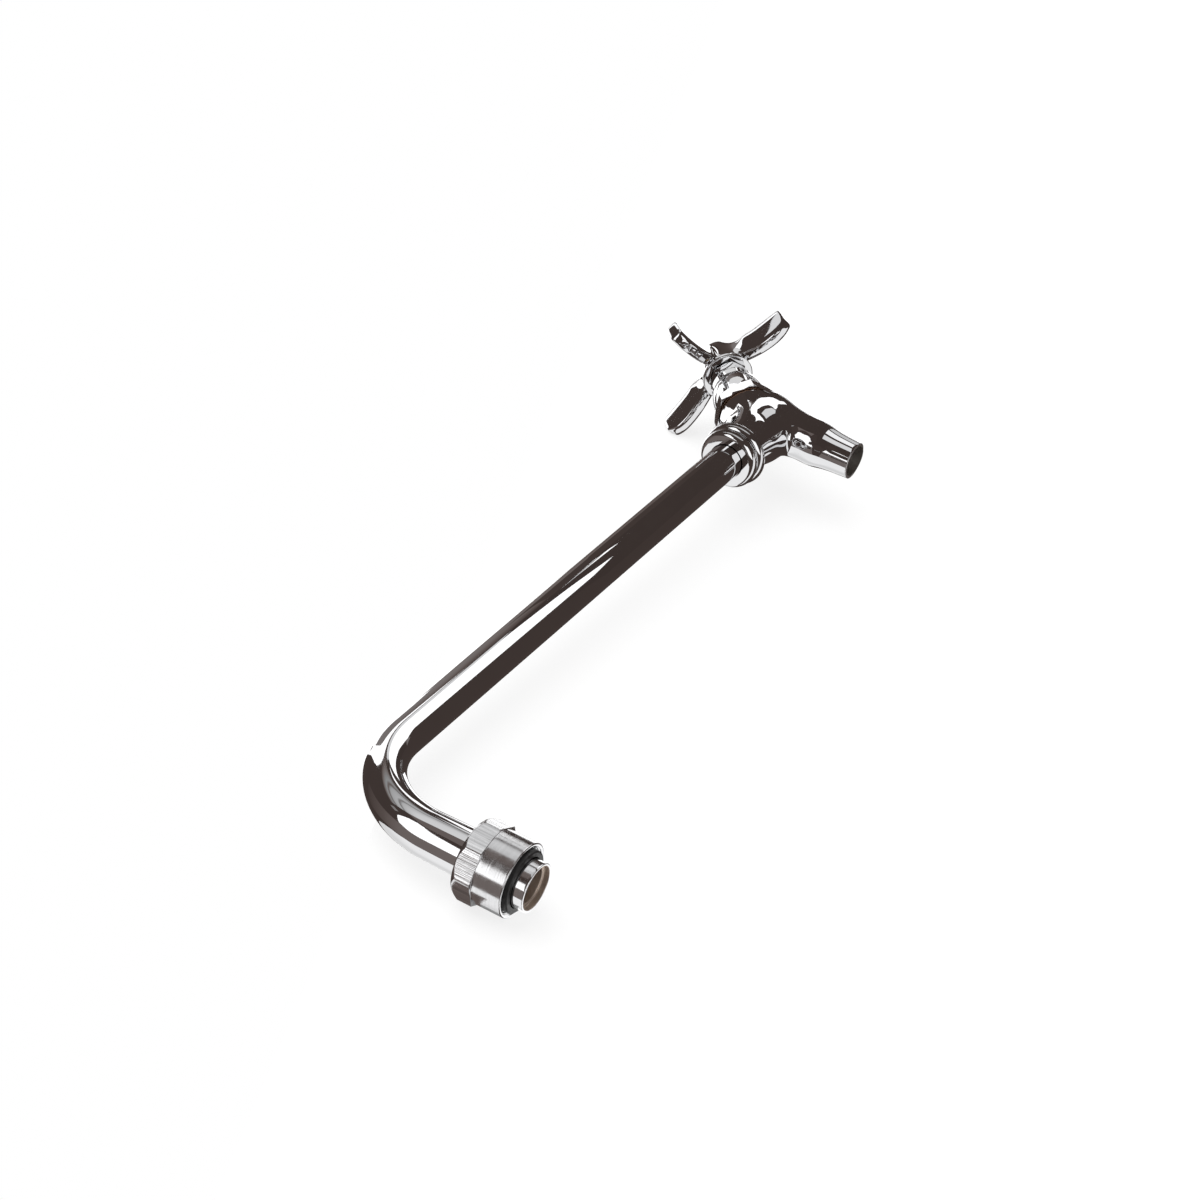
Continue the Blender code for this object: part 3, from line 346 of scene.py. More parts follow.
def nut_metal(name):
    """Chrome with lines along the axis on the flats and fine turned rings on the skirt."""
    material = metal(name, CHROME_DARK, CHROME_LIGHT, 0.12, 0.2, 160.0)
    nodes, links = material.node_tree.nodes, material.node_tree.links
    milled = noise_of(nodes, links, 1500.0, (1.0, 1.0, 0.03), detail=3.0)
    turned = noise_of(nodes, links, 2600.0, (0.02, 0.02, 1.0), detail=3.0)
    lines = add_node(nodes, "ShaderNodeMix")
    links.new(radius_share(nodes, links, NUT_OD / 2 + 0.05 * MM), lines.inputs["Factor"])
    links.new(noisy(nodes, links, turned, 0.4, 0.6), lines.inputs["A"])
    links.new(noisy(nodes, links, milled, 0.0, 1.0), lines.inputs["B"])
    add_relief(nodes, links, lines.outputs["Result"], 0.7, 0.05 * MM)
    base = nodes["Principled BSDF"].inputs["Base Color"]
    scored = add_node(nodes, "ShaderNodeMix", data_type="RGBA", blend_type="MULTIPLY")
    scored.inputs["Factor"].default_value = 1.0
    links.new(base.links[0].from_socket, scored.inputs["A"])
    links.new(ranged(nodes, links, lines.outputs["Result"], 0.0, 1.0, 0.72, 1.25), scored.inputs["B"])
    links.new(scored.outputs["Result"], base)
    return material


def plated_metal(name, radius):
    """Dull brass inside this radius and chrome plate outside it."""
    dull, polished = 0.5, 0.1
    material = metal(name, BORE_DARK, BORE_LIGHT, dull, dull, 220.0)
    nodes, links = material.node_tree.nodes, material.node_tree.links
    shader = nodes["Principled BSDF"]
    bare = shader.inputs["Base Color"].links[0].from_socket
    mix = add_node(nodes, "ShaderNodeMix", data_type="RGBA")
    mix.inputs["B"].default_value = (*CHROME_LIGHT, 1.0)
    outside = radius_share(nodes, links, radius)
    links.new(outside, mix.inputs["Factor"])
    links.new(bare, mix.inputs["A"])
    links.new(ranged(nodes, links, outside, 0.0, 1.0, dull, polished), shader.inputs["Roughness"])
    links.new(mix.outputs["Result"], shader.inputs["Base Color"])
    return material


CHROME_DARK = (0.70, 0.70, 0.71)
CHROME_LIGHT = (0.76, 0.76, 0.77)
BRASS_DARK = (0.60, 0.40, 0.19)
BRASS_LIGHT = (0.80, 0.58, 0.29)
BORE_DARK = (0.60, 0.51, 0.44)
BORE_LIGHT = (0.74, 0.65, 0.57)

CAST_BORE = metal("cast_bore", (0.42, 0.4, 0.37), (0.56, 0.53, 0.49), 0.5, 0.65, 220.0)
TURNED_FACE = metal("turned_face", (0.82, 0.82, 0.82), (0.92, 0.92, 0.92), 0.4, 0.5, 900.0)
MATERIALS = {
    "nut_chrome": nut_metal("nut_chrome"),
    "tube_chrome": metal("tube_chrome", CHROME_DARK, CHROME_LIGHT, 0.02, 0.05),
    "casting_chrome": metal("casting_chrome", CHROME_DARK, CHROME_LIGHT, 0.02, 0.05),
    "handle_chrome": metal("handle_chrome", CHROME_DARK, CHROME_LIGHT, 0.02, 0.06),
    "washer_brass": metal("washer_brass", BRASS_DARK, BRASS_LIGHT, 0.2, 0.35, 220.0),
    "spigot_brass": plated_metal("spigot_brass", SPIGOT_OD / 2 - NOSE_WALL + 0.05 * MM),
    "inner_brass": metal("inner_brass", BRASS_DARK, BRASS_LIGHT, 0.18, 0.35, 220.0),
    "screw_steel": metal("screw_steel", (0.5, 0.5, 0.51), (0.62, 0.62, 0.64), 0.15, 0.3, 220.0),
    "black_rubber": matt("black_rubber", (0.012, 0.012, 0.012), (0.03, 0.029, 0.028), 0.5, 900.0, 0.2),
    "gasket_fibre": matt("gasket_fibre", (0.12, 0.06, 0.035), (0.24, 0.13, 0.08), 0.8, 700.0, 0.4),
    "packing_yarn": matt("packing_yarn", (0.03, 0.03, 0.03), (0.09, 0.09, 0.085), 0.75, 500.0, 0.6),
}

# Solids that stay in view take their slot's material too
for part in frame["record"]["subparts"]:
    node = frame["nodes"][part["node"]]
    node.data.materials.clear()
    node.data.materials.append(MATERIALS[part["material_slot"]])


# Foot of the arm

def swivel_nut():
    """Octagon above, round skirt below, and a thread in its mouth."""
    corner = NUT_FLATS / 2 / math.cos(math.pi / NUT_SIDES)
    skirt = NUT_OD / 2
    bore = NUT_BORE / 2
    hole = LEG_OD / 2 + GAP
    edge = 0.25 * MM
    mouth = 0.85 * MM
    near = 0.05 * MM
    past = corner + 0.3 * MM
    bevel = corner - NUT_FLATS / 2
    limit = flats_limit(NUT_SIDES, NUT_FLATS, NUT_TURN, FLAT_EASE)
    thread_low = 0.3 * MM
    thread_high = 7.0 * MM

    def form(radius, height, angle):
        if height > NUT_SKIRT - near and radius > skirt + 0.02 * MM:
            return limit(radius, angle)
        if bore - near < radius < bore + mouth and thread_low < height < thread_high:
            turn = (height / THREAD_PITCH - angle / (2 * math.pi)) % 1.0
            return max(radius, bore + THREAD_DEPTH * (1.0 - abs(2 * turn - 1.0)))
        return radius

    outer = eased([
        (hole, NUT_LENGTH),
        (NUT_FLATS / 2 - 0.2 * MM, NUT_LENGTH),
        (past, NUT_LENGTH - 2.2 * bevel),
        (past, NUT_SKIRT),
        (skirt, NUT_SKIRT),
        (skirt, edge),
        (skirt - edge, 0.0),
        (bore + mouth, 0.0),
        (bore, mouth),
        (bore, NUT_SHOULDER),
        (hole, NUT_SHOULDER),
    ], 0.12 * MM)
    mesh = lathe("nut", divided(outer, 0.12 * MM), 192, turn=NUT_TURN, form=form, sharp=50.0)
    add_piece("nut", mesh, "swivel", "nut_chrome", ["swivel_nut"])


def swivel_washer():
    """The rubber bush round the spigot, standing a little out of the nut."""
    low, high = (corner.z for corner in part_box("swivel_washer"))
    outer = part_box("swivel_washer")[1].x
    inner = SPIGOT_OD / 2 + GAP
    profile = eased([(inner, high), (outer, high), (outer, low), (inner, low)], 0.7 * MM, steps=8)
    mesh = lathe("mouth_washer", divided(profile, 0.5 * MM), 96)
    add_piece("mouth_washer", mesh, "swivel", "black_rubber", ["swivel_washer"])


def spigot():
    """The foot of the arm: flange and stub inside, and the counterbored nose that stands out."""
    nose = SPIGOT_OD / 2
    low = -4.9 * MM
    counterbore = low + 2.0 * MM
    flange, flange_low, flange_high = 9.6 * MM, 6.2 * MM, 9.4 * MM
    stub = LEG_OD / 2 - TUBE_WALL - GAP
    stub_bore = stub - 1.1 * MM
    stub_high = flange_high + 12.0 * MM
    profile = eased([
        (stub_bore, stub_high),
        (stub, stub_high),
        (stub, flange_high),
        (flange, flange_high),
        (flange, flange_low),
        (nose, flange_low),
        (nose, low),
        (nose - NOSE_WALL, low),
        (nose - NOSE_WALL, counterbore),
        (nose - 2 * NOSE_WALL, counterbore),
        (nose - 2 * NOSE_WALL, flange_low),
        (stub_bore, flange_high),
    ], 0.3 * MM)
    mesh = lathe("spigot_end", divided(profile, 0.5 * MM), 96)
    add_piece("spigot_end", mesh, "arm", "spigot_brass", ["spigot"])


# Arm

def arm_line(leg_steps=8, bend_steps=48, arm_steps=24):
    """Centre points, directions and shares of the taper along the arm."""
    bend_z = ARM_HEIGHT - BEND_RADIUS
    leg = bend_z - TUBE_FOOT
    turn = BEND_RADIUS * math.pi / 2
    end = COLLAR_X + SOCKET_DEPTH - GAP
    line = []
    for i in range(leg_steps):
        rise = leg * i / leg_steps
        line.append((Vector((0.0, 0.0, TUBE_FOOT + rise)), 0.0, rise / (leg + turn)))
    for i in range(bend_steps + 1):
        angle = math.pi / 2 * i / bend_steps
        x = BEND_RADIUS * (1 - math.cos(angle))
        place = Vector((x, 0.0, bend_z + BEND_RADIUS * math.sin(angle)))
        line.append((place, angle, (leg + turn * i / bend_steps) / (leg + turn)))
    for i in range(1, arm_steps + 1):
        x = BEND_RADIUS + (end - BEND_RADIUS) * i / arm_steps
        line.append((Vector((x, 0.0, ARM_HEIGHT)), math.pi / 2, 1.0))
    return line


def spout_tube():
    """The bent tube, with its bore, swept along the arm."""
    around = 72
    shape = bmesh.new()
    rows = []
    line = arm_line()
    for wall, stations in ((0.0, line), (TUBE_WALL, line[::-1])):
        for place, angle, share in stations:
            ease = share * share * (3 - 2 * share)
            radius = LEG_OD / 2 + (TUBE_OD - LEG_OD) / 2 * ease - wall
            across = Vector((math.cos(angle), 0.0, -math.sin(angle)))
            row = []
            for j in range(around):
                turn = 2 * math.pi * j / around
                side = across * math.cos(turn) + Vector((0.0, 1.0, 0.0)) * math.sin(turn)
                row.append(shape.verts.new(place + side * radius))
            rows.append(row)
    for first, second in zip(rows, rows[1:] + rows[:1]):
        for j in range(around):
            k = (j + 1) % around
            shape.faces.new((first[j], first[k], second[k], second[j]))
    mesh = mesh_of(shape, "arm_tube")
    smooth(mesh)
    add_piece("arm_tube", mesh, "arm", "tube_chrome", ["spout_tube"])


# Bib

def stem_point(along):
    """The point this far up the stem's axis."""
    return STEM_FOOT + Vector((math.sin(STEM_TILT), 0.0, math.cos(STEM_TILT))) * along


def casting_limbs():
    """The limbs that the casting blends: start, end and the radius at each of them."""
    bulb = Vector((ARM_REACH + BULB_LEAD, 0.0, ARM_HEIGHT + BULB_RISE))
    lead = BULB_LEAD * SPOUT_TAPER / (OUTLET_DROP + BULB_RISE)
    waist = Vector((ARM_REACH + lead, 0.0, ARM_HEIGHT - SPOUT_WAIST_DROP))
    outlet = Vector((ARM_REACH, 0.0, ARM_HEIGHT - OUTLET_DROP - OVERCUT))
    collar = Vector((COLLAR_X + COLLAR_LAND, 0.0, ARM_HEIGHT))
    return [
        (collar, STEM_FOOT, COLLAR_RADIUS, BODY_RADIUS),
        (STEM_FOOT, stem_point(NECK_TOP + OVERCUT), BODY_RADIUS, NECK_RADIUS),
        (STEM_FOOT, bulb, BODY_RADIUS, BULB_RADIUS),
        (bulb, waist, BULB_RADIUS, SPOUT_WAIST_RADIUS),
        (waist, outlet, SPOUT_WAIST_RADIUS, OUTLET_OD / 2),
    ]


def casting_distance(points):
    """How far each point lies outside the casting, with the limbs run together by a soft minimum."""
    softness = CASTING_BLEND / 4
    total = np.zeros(len(points))
    for start, end, first, last in casting_limbs():
        base = np.array(start)
        line = np.array(end) - base
        share = np.clip((points - base) @ line / (line @ line), 0.0, 1.0)
        away = np.linalg.norm(points - base - share[:, None] * line, axis=1)
        total += np.exp(-(away - first - (last - first) * share) / softness)
    return -softness * np.log(total)


def casting_slope(points):
    """The casting's distance and its outward direction at each point."""
    probe = 0.01 * MM
    here = casting_distance(points)
    steps = np.eye(3) * probe
    slope = np.stack([(casting_distance(points + step) - here) / probe for step in steps], axis=1)
    return here, slope / np.linalg.norm(slope, axis=1)[:, None]


def casting_skin():
    """A fine skin drawn onto the blend of the limbs."""
    rounds, pull = 12, 0.8
    heap = bmesh.new()
    for start, end, first, last in casting_limbs():
        length = (end - start).length
        profile = [(0.0, length + last)]
        profile += [(last * math.sin(a), length + last * math.cos(a)) for a in np.linspace(0.2, 1.5, 8)]
        profile += [(first * math.cos(a), -first * math.sin(a)) for a in np.linspace(0.05, 1.4, 8)]
        profile += [(0.0, -first)]
        turn = (end - start).to_track_quat("Z", "Y").to_matrix().to_4x4()
        heap.from_mesh(lathe("limb", profile, 48, Matrix.Translation(start) @ turn))
    rough = place_object("rough", bpy.data.meshes.new("rough"))
    heap.to_mesh(rough.data)
    heap.free()
    remesh = rough.modifiers.new("Skin", "REMESH")
    remesh.mode = "VOXEL"
    remesh.voxel_size = CASTING_GRAIN
    mesh = evaluated_mesh(rough)
    bpy.data.objects.remove(rough)
    points = np.empty(3 * len(mesh.vertices))
    mesh.vertices.foreach_get("co", points)
    points = points.reshape(-1, 3)
    for _ in range(rounds):
        here, slope = casting_slope(points)
        points = points - pull * here[:, None] * slope
    mesh.vertices.foreach_set("co", points.ravel())
    mesh.update()
    return mesh


def polish(mesh):
    """Shades the skin by the slope of the blend itself, and the cut faces flat."""
    near, facing = 0.02 * MM, 0.8
    mesh.shade_smooth()
    points = np.empty(3 * len(mesh.vertices))
    mesh.vertices.foreach_get("co", points)
    here, slope = casting_slope(points.reshape(-1, 3))
    normals = []
    for face in mesh.polygons:
        on_skin = all(abs(here[i]) < near for i in face.vertices)
        on_skin = on_skin and face.normal.dot(Vector(slope[face.vertices[0]])) > facing
        normals += [tuple(slope[i]) if on_skin else tuple(face.normal) for i in face.vertices]
    mesh.normals_split_custom_set(normals)


def evaluated_mesh(source):
    """A new mesh of an object with its modifiers applied."""
    bpy.context.view_layer.update()
    graph = bpy.context.evaluated_depsgraph_get()
    return bpy.data.meshes.new_from_object(source.evaluated_get(graph), depsgraph=graph)


def cut_by(mesh, cutters):
    """The mesh with these closed meshes cut out of it."""
    body = place_object("cut_body", mesh)
    helpers = [body]
    for i, cutter in enumerate(cutters):
        helper = place_object(f"cutter_{i}", cutter)
        helpers.append(helper)
        step = body.modifiers.new("Cut", "BOOLEAN")
        step.operation = "DIFFERENCE"
        step.object = helper
    result = evaluated_mesh(body)
    for helper in helpers:
        bpy.data.objects.remove(helper)
    return result


def block(radius, low, high, place=None):
    """A closed bar to cut with."""
    return lathe("bar", [(0.0, high), (radius, high), (radius, low), (0.0, low)], 64, place)


def valve_body():
    """The casting: bulb, slanted neck and tapered spout, cut off at its ends and bored."""
    far = 60.0 * MM
    spout_bore = lathe("bore", [
        (0.0, OUTLET_DROP),
        (SPOUT_BORE_RADIUS, OUTLET_DROP),
        (SPOUT_BORE_RADIUS, SPOUT_TAPER),
        (OUTLET_BORE_RADIUS, 0.0),
        (OUTLET_BORE_RADIUS, -OVERCUT),
        (0.0, -OVERCUT),
    ], 64, SPOUT_AXIS)
    mesh = cut_by(casting_skin(), [
        block(far, NECK_TOP, far, STEM_AXIS),
        block(far, -OUTLET_DROP - far, -OUTLET_DROP, OUTLET_AXIS),
        block(far, -far, COLLAR_LAND, ARM_AXIS),
        block(NECK_BORE_RADIUS, 0.0, far, STEM_AXIS),
        spout_bore,
    ])
    polish(mesh)
    add_piece("casting", mesh, "arm", "casting_chrome", ["valve_body"])


def spout_end():
    """The dull lining of the spout's bore and the turned lip, both a hair proud of the casting."""
    wall, proud, set_back, ease = 0.4 * MM, 0.03 * MM, 0.1 * MM, 0.02 * MM
    lining = lathe("spout_lining", [
        (SPOUT_BORE_RADIUS - proud, SPOUT_TAPER),
        (SPOUT_BORE_RADIUS + wall, SPOUT_TAPER),
        (OUTLET_BORE_RADIUS + wall, set_back),
        (OUTLET_BORE_RADIUS - proud, set_back),
    ], 64, SPOUT_AXIS)
    add_piece("spout_lining", lining, "arm", "casting_chrome", material=CAST_BORE)
    profile = eased([
        (OUTLET_BORE_RADIUS, wall),
        (OUTLET_OD / 2 + ease, wall),
        (OUTLET_OD / 2 - ease, -proud),
        (OUTLET_BORE_RADIUS, -proud),
    ], 0.08 * MM)
    lip = lathe("spout_lip", profile, 96, LIP_AXIS)
    add_piece("spout_lip", lip, "arm", "casting_chrome", material=TURNED_FACE)


def inlet_collar():
    """The two beads round the casting's inlet."""
    tube = TUBE_OD / 2 + GAP
    back = 11.0 * MM
    bead = 2.2 * MM
    beads = ((9.8 * MM, 3 * bead, 65, -75), (9.0 * MM, bead, 75, -90))
    profile = [(tube, back), (COLLAR_RADIUS, back)]
    for centre, middle, start, end in beads:
        for angle in np.radians(np.linspace(start, end, 20)):
            profile.append((centre + bead * math.cos(angle), middle + bead * math.sin(angle)))
    profile.append((tube, 0.0))
    mesh = lathe("inlet_collar", profile, 128, ARM_AXIS, sharp=30.0)
    add_piece("inlet_collar", mesh, "arm", "casting_chrome")


def bonnet():
    """The hexagon flange with its dome, hollow for the cup, the stem's screw and the packing."""
    flats = 22.4 * MM
    corner = flats / 2 / math.cos(math.pi / HEX_SIDES)
    past = corner + 0.2 * MM
    hex_low, hex_high = 13.4 * MM, 17.8 * MM
    low, high = 5.0 * MM, 36.2 * MM
    dome_top, dome_swell, dome_rise = 7.8 * MM, 2.8 * MM, 12.4 * MM
    threaded, box_outer = 8.0 * MM, 5.3 * MM
    cup, screw, stem, box = 6.5 * MM, 4.5 * MM, 3.3 * MM, 4.4 * MM
    cup_high, screw_high, box_low = 13.05 * MM, 24.85 * MM, 28.7 * MM
    near, flat_from = 0.1 * MM, 10.9 * MM
    limit = flats_limit(HEX_SIDES, flats, HEX_TURN, FLAT_EASE)

    def form(radius, height, angle):
        if hex_low - near < height < hex_high + near and radius > flat_from:
            return limit(radius, angle)
        return radius

    profile = [(box, high), (box_outer, high), (box_outer, hex_high + dome_rise)]
    for angle in np.linspace(0.0, math.pi / 2, 24):
        swell, rise = dome_swell * math.sin(angle), dome_rise * math.cos(angle)
        profile.append((dome_top + swell, hex_high + rise))
    profile += eased([
        (10.7 * MM, hex_high),
        (corner - 1.2 * MM, hex_high),
        (past, hex_high - 0.8 * MM),
        (past, hex_low + 0.3 * MM),
        (corner - 0.8 * MM, hex_low),
        (threaded, hex_low),
        (threaded, low),
        (cup, low),
    ], 0.12 * MM)
    inside = [(cup, cup_high), (screw, cup_high), (screw, screw_high), (stem, screw_high),
              (stem, box_low), (box, box_low)]
    mesh = lathe("valve_bonnet", divided(profile, 0.3 * MM) + inside, 192, STEM_AXIS, form=form)
    add_piece("valve_bonnet", mesh, "arm", "casting_chrome", ["bonnet"])


def packing_nut():
    """The small hexagon over a round rim, hollow for the gland."""
    flats = 13.4 * MM
    corner = flats / 2 / math.cos(math.pi / HEX_SIDES)
    past = corner + 0.1 * MM
    low, rim_high, high = 30.5 * MM, 33.3 * MM, 39.4 * MM
    rim, threaded, stem = 8.3 * MM, 5.6 * MM, 3.3 * MM
    roof = high - 1.8 * MM
    flat_low, flat_from = rim_high + 0.9 * MM, 6.0 * MM
    limit = flats_limit(HEX_SIDES, flats, HEX_TURN, FLAT_EASE)

    def form(radius, height, angle):
        if height > flat_low and radius > flat_from:
            return limit(radius, angle)
        return radius

    profile = eased([
        (stem, high),
        (corner - 1.0 * MM, high),
        (past, high - 1.0 * MM),
        (past, rim_high + 1.0 * MM),
        (rim, rim_high),
        (rim, low),
        (threaded, low),
        (threaded, roof),
        (stem, roof),
    ], 0.2 * MM)
    mesh = lathe("gland_nut", divided(profile, 0.25 * MM), 144, STEM_AXIS, form=form)
    add_piece("gland_nut", mesh, "arm", "nut_chrome", ["packing_nut"], MATERIALS["handle_chrome"])


# Handle

def arm_stations():
    """Stations along an arm: distance from the axis, underside and top above the hub's rim."""
    return [
        (HANDLE_TIP - 19.5 * MM, 0.0, 12.6 * MM),
        (HANDLE_TIP - 14.5 * MM, -2.64 * MM, 9.4 * MM),
        (HANDLE_TIP - 7.5 * MM, -4.4 * MM, 8.3 * MM),
        (HANDLE_TIP - 3.0 * MM, -3.74 * MM, 7.4 * MM),
        (HANDLE_TIP, -1.4 * MM, 6.6 * MM),
    ]


def handle_cage():
    """A coarse cage of the cross handle: hub rings, with the arms drawn out of the faces between them."""
    rim_crease, top_crease, tip_crease, blade_crease = 1.0, 0.7, 0.36, 0.38
    root_spread = 1.15
    shape = bmesh.new()
    crease = shape.edges.layers.float.new("crease_edge")
    rings = [
        (HUB_RIM, HUB_LOW),
        (HUB_RIM, HUB_LOW + 1.4 * MM),
        (7.45 * MM, HUB_LOW + 14.7 * MM),
        (6.7 * MM, HUB_LOW + 16.2 * MM),
    ]
    arm_angles = [math.pi / 2 * i for i in range(4)]
    rows = []
    for radius, height in rings:
        spread = math.asin(BLADE_WIDTH / 2 / radius) * root_spread
        row = []
        for angle in arm_angles:
            for side in (-spread, spread):
                row.append(shape.verts.new((radius * math.cos(angle + side),
                                            radius * math.sin(angle + side), height)))
        rows.append(row)
    count = len(rows[0])
    roots = []
    for low, high in zip(rows, rows[1:]):
        for i in range(count):
            j = (i + 1) % count
            face = shape.faces.new((low[i], low[j], high[j], high[i]))
            if low is rows[1] and i % 2 == 0:
                roots.append((face, arm_angles[i // 2]))
    shape.faces.new(list(reversed(rows[0])))
    shape.faces.new(rows[-1])
    for row, sharpness in ((rows[0], rim_crease), (rows[-1], top_crease)):
        for i in range(count):
            shape.edges.get((row[i], row[(i + 1) % count]))[crease] = sharpness
    for face, angle in roots:
        for radius, low, high in arm_stations():
            face = bmesh.ops.extrude_discrete_faces(shape, faces=[face])["faces"][0]
            corners = sorted(face.verts, key=lambda vert: vert.co.z)
            for pair, height in ((corners[:2], low), (corners[2:], high)):
                for vert in pair:
                    flat = Matrix.Rotation(-angle, 3, "Z") @ vert.co
                    side = math.copysign(BLADE_WIDTH / 2, flat.y)
                    vert.co = Matrix.Rotation(angle, 3, "Z") @ Vector((radius, side, HUB_LOW + height))
        for edge in face.edges:
            edge[crease] = tip_crease
    for edge in shape.edges:
        first, second = (vert.co.xy.length for vert in edge.verts)
        if min(first, second) > HUB_RIM and abs(first - second) > GAP:
            edge[crease] = blade_crease
    return mesh_of(shape, "cage")


def handle():
    """The rounded cross with its recess and shaft hole, and the turned ring under its hub."""
    recess, recess_low = 5.5 * MM, 54.3 * MM
    shaft, shaft_high = 3.2 * MM, 51.0 * MM
    below, above = 30 * MM, 60 * MM
    cage = place_object("cage", handle_cage())
    round_off = cage.modifiers.new("Round", "SUBSURF")
    round_off.levels = round_off.render_levels = 4
    mesh = evaluated_mesh(cage)
    bpy.data.objects.remove(cage)
    mesh = cut_by(mesh, [block(recess, recess_low, above), block(shaft, below, shaft_high)])
    mesh.transform(HANDLE_AXIS)
    smooth(mesh)
    ring_low, ring_high = HUB_LOW - 0.15 * MM, HUB_LOW + 1.8 * MM
    profile = eased([
        (HUB_RING_BORE, ring_high),
        (HUB_RIM, ring_high),
        (HUB_RIM, ring_low),
        (HUB_RING_BORE, ring_low),
    ], 0.7 * MM)
    ring = lathe("hub_rim", divided(profile, 0.2 * MM), 128, HANDLE_AXIS)
    add_piece("hub_rim", ring, "handle", "handle_chrome")
    add_piece("cross_handle", mesh, "handle", "handle_chrome", ["handle"])


def handle_cap():
    """The low button that closes the handle's recess."""
    radius, low, edge, dome = 5.2 * MM, 54.8 * MM, 0.5 * MM, 1.1 * MM
    profile = [(0.0, low + edge + dome)]
    for angle in np.linspace(0.1, 1.5, 12):
        profile.append((radius * math.sin(angle), low + edge + dome * math.cos(angle)))
    profile += [(radius, low), (0.0, low)]
    mesh = lathe("handle_cap", profile, 64, HANDLE_AXIS)
    add_piece("handle_cap", mesh, "handle", "handle_chrome", ["index_button"])


# Studio

def photo_axes():
    """The floor's place and normal, and the level directions away from the camera and to its right."""
    nut_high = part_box("swivel_nut")[1].y
    handle_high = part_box("handle")[1]
    up = Vector(((handle_high.y - nut_high) / handle_high.x, -1.0, 0.0)).normalized()
    place = Vector((0.0, nut_high, 0.0))
    away = (CAMERA_FORWARD - up * CAMERA_FORWARD.dot(up)).normalized()
    return place, up, away, away.cross(up)


FLOOR_PLACE, UP, AWAY, RIGHT = photo_axes()
ELBOW = Vector((0.02, 0.0, 0.05))
BIB = Vector((0.262, 0.0, 0.06))
ROOM = 5.0
ROOM_TINT = (1.25, 0.93, 0.83)
ROOM_GLOW = 0.05
FILL_GLOW = 0.45
FLOOR_GRAY = 0.30
FLOOR_GLOW = 0.79
KEY_ENERGY = 1.6
KEY_SPREAD = math.radians(70.0)

# Cards: strengths, heights of level cards, and the bars over the spout as (near x, far x, strength)
WHITE = 1.6
DARK = 0.045
OVER_BIB = 0.016
UNDER_NUT = -0.0126
SPOUT_BARS = ((0.2613, 0.2648, 0.9), (0.2662, 0.2702, 1.2), (0.2715, 0.285, 0.7))


def camera():
    """The photograph's camera."""
    data = bpy.data.cameras.new("camera")
    data.lens = CAMERA_LENS
    data.sensor_width = SENSOR
    data.clip_start = 0.01
    made = place_object("camera", data)
    right = CAMERA_FORWARD.cross(CAMERA_UP)
    made.matrix_world = Matrix((right, CAMERA_UP, -CAMERA_FORWARD)).transposed().to_4x4()
    made.location = CAMERA_PLACE
    bpy.context.scene.camera = made


def show_front(nodes, links, shader):
    """Shows a shader on the front of a sheet. The back of the sheet is clear."""
    side = add_node(nodes, "ShaderNodeNewGeometry")
    clear = add_node(nodes, "ShaderNodeBsdfTransparent")
    front = mixed(nodes, links, side.outputs["Backfacing"], shader, clear.outputs["BSDF"])
    links.new(front, nodes["Material Output"].inputs["Surface"])


def card_material():
    """A plain glow whose strength is kept on the card's corners. Faint glows take the room's tint."""
    material, nodes, links = new_material("card")
    nodes.remove(nodes["Principled BSDF"])
    level = add_node(nodes, "ShaderNodeAttribute", attribute_name="glow")
    light = add_node(nodes, "ShaderNodeEmission")
    share = ranged(nodes, links, level.outputs["Fac"], 0.05, 0.3, 0.0, 1.0)
    links.new(tinted(nodes, links, share, ROOM_TINT, (1.0, 1.0, 1.0)), light.inputs["Color"])
    links.new(level.outputs["Fac"], light.inputs["Strength"])
    show_front(nodes, links, light.outputs["Emission"])
    return material


CARD = card_material()


def ray(azimuth, elevation):
    """A direction in the studio. Azimuth 0 is away from the camera and 90 to its right."""
    azimuth, elevation = math.radians(azimuth), math.radians(elevation)
    level = AWAY * math.cos(azimuth) + RIGHT * math.sin(azimuth)
    return level * math.cos(elevation) + UP * math.sin(elevation)


def card(name, corners, faces, strengths, centre):
    """A card of the studio that faces the centre and is seen only in reflections."""
    mesh = bpy.data.meshes.new(name)
    mesh.from_pydata(corners, [], faces)
    first = mesh.polygons[0]
    if first.normal.dot(centre - first.center) < 0:
        mesh.flip_normals()
    glow = mesh.attributes.new("glow", "FLOAT", "POINT")
    glow.data.foreach_set("value", strengths)
    mesh.materials.append(CARD)
    made = place_object(name, mesh)
    made.visible_camera = False
    made.visible_diffuse = False
    made.visible_shadow = False


def plain_card(name, corners, strength, centre):
    """A flat card of one strength."""
    card(name, corners, [list(range(len(corners)))], [strength] * len(corners), centre)


def grid_card(name, rows, strengths):
    """A card through rows of corners, with a strength for each row."""
    width = len(rows[0])
    corners = [corner for row in rows for corner in row]
    levels = [strength for strength in strengths for _ in range(width)]
    faces = []
    for j in range(len(rows) - 1):
        for i in range(width - 1):
            first = j * width + i
            faces.append((first, first + 1, first + width + 1, first + width))
    card(name, corners, faces, levels, ELBOW)


def flat_card(name, outline, strength, centre=ELBOW, distance=ROOM):
    """A flat card that is seen from the centre in the directions of its outline."""
    rays = [ray(*corner) for corner in outline]
    facing = sum(rays, Vector()).normalized()
    corners = [centre + one * (distance / one.dot(facing)) for one in rays]
    plain_card(name, corners, strength, centre)


def graded_card(name, columns, strengths, steps=8, distance=ROOM):
    """A card of columns (azimuth, low, high), each with its own strength."""
    rows = [[ELBOW + ray(azimuth, low + (high - low) * i / steps) * distance for i in range(steps + 1)]
            for azimuth, low, high in columns]
    grid_card(name, rows, strengths)


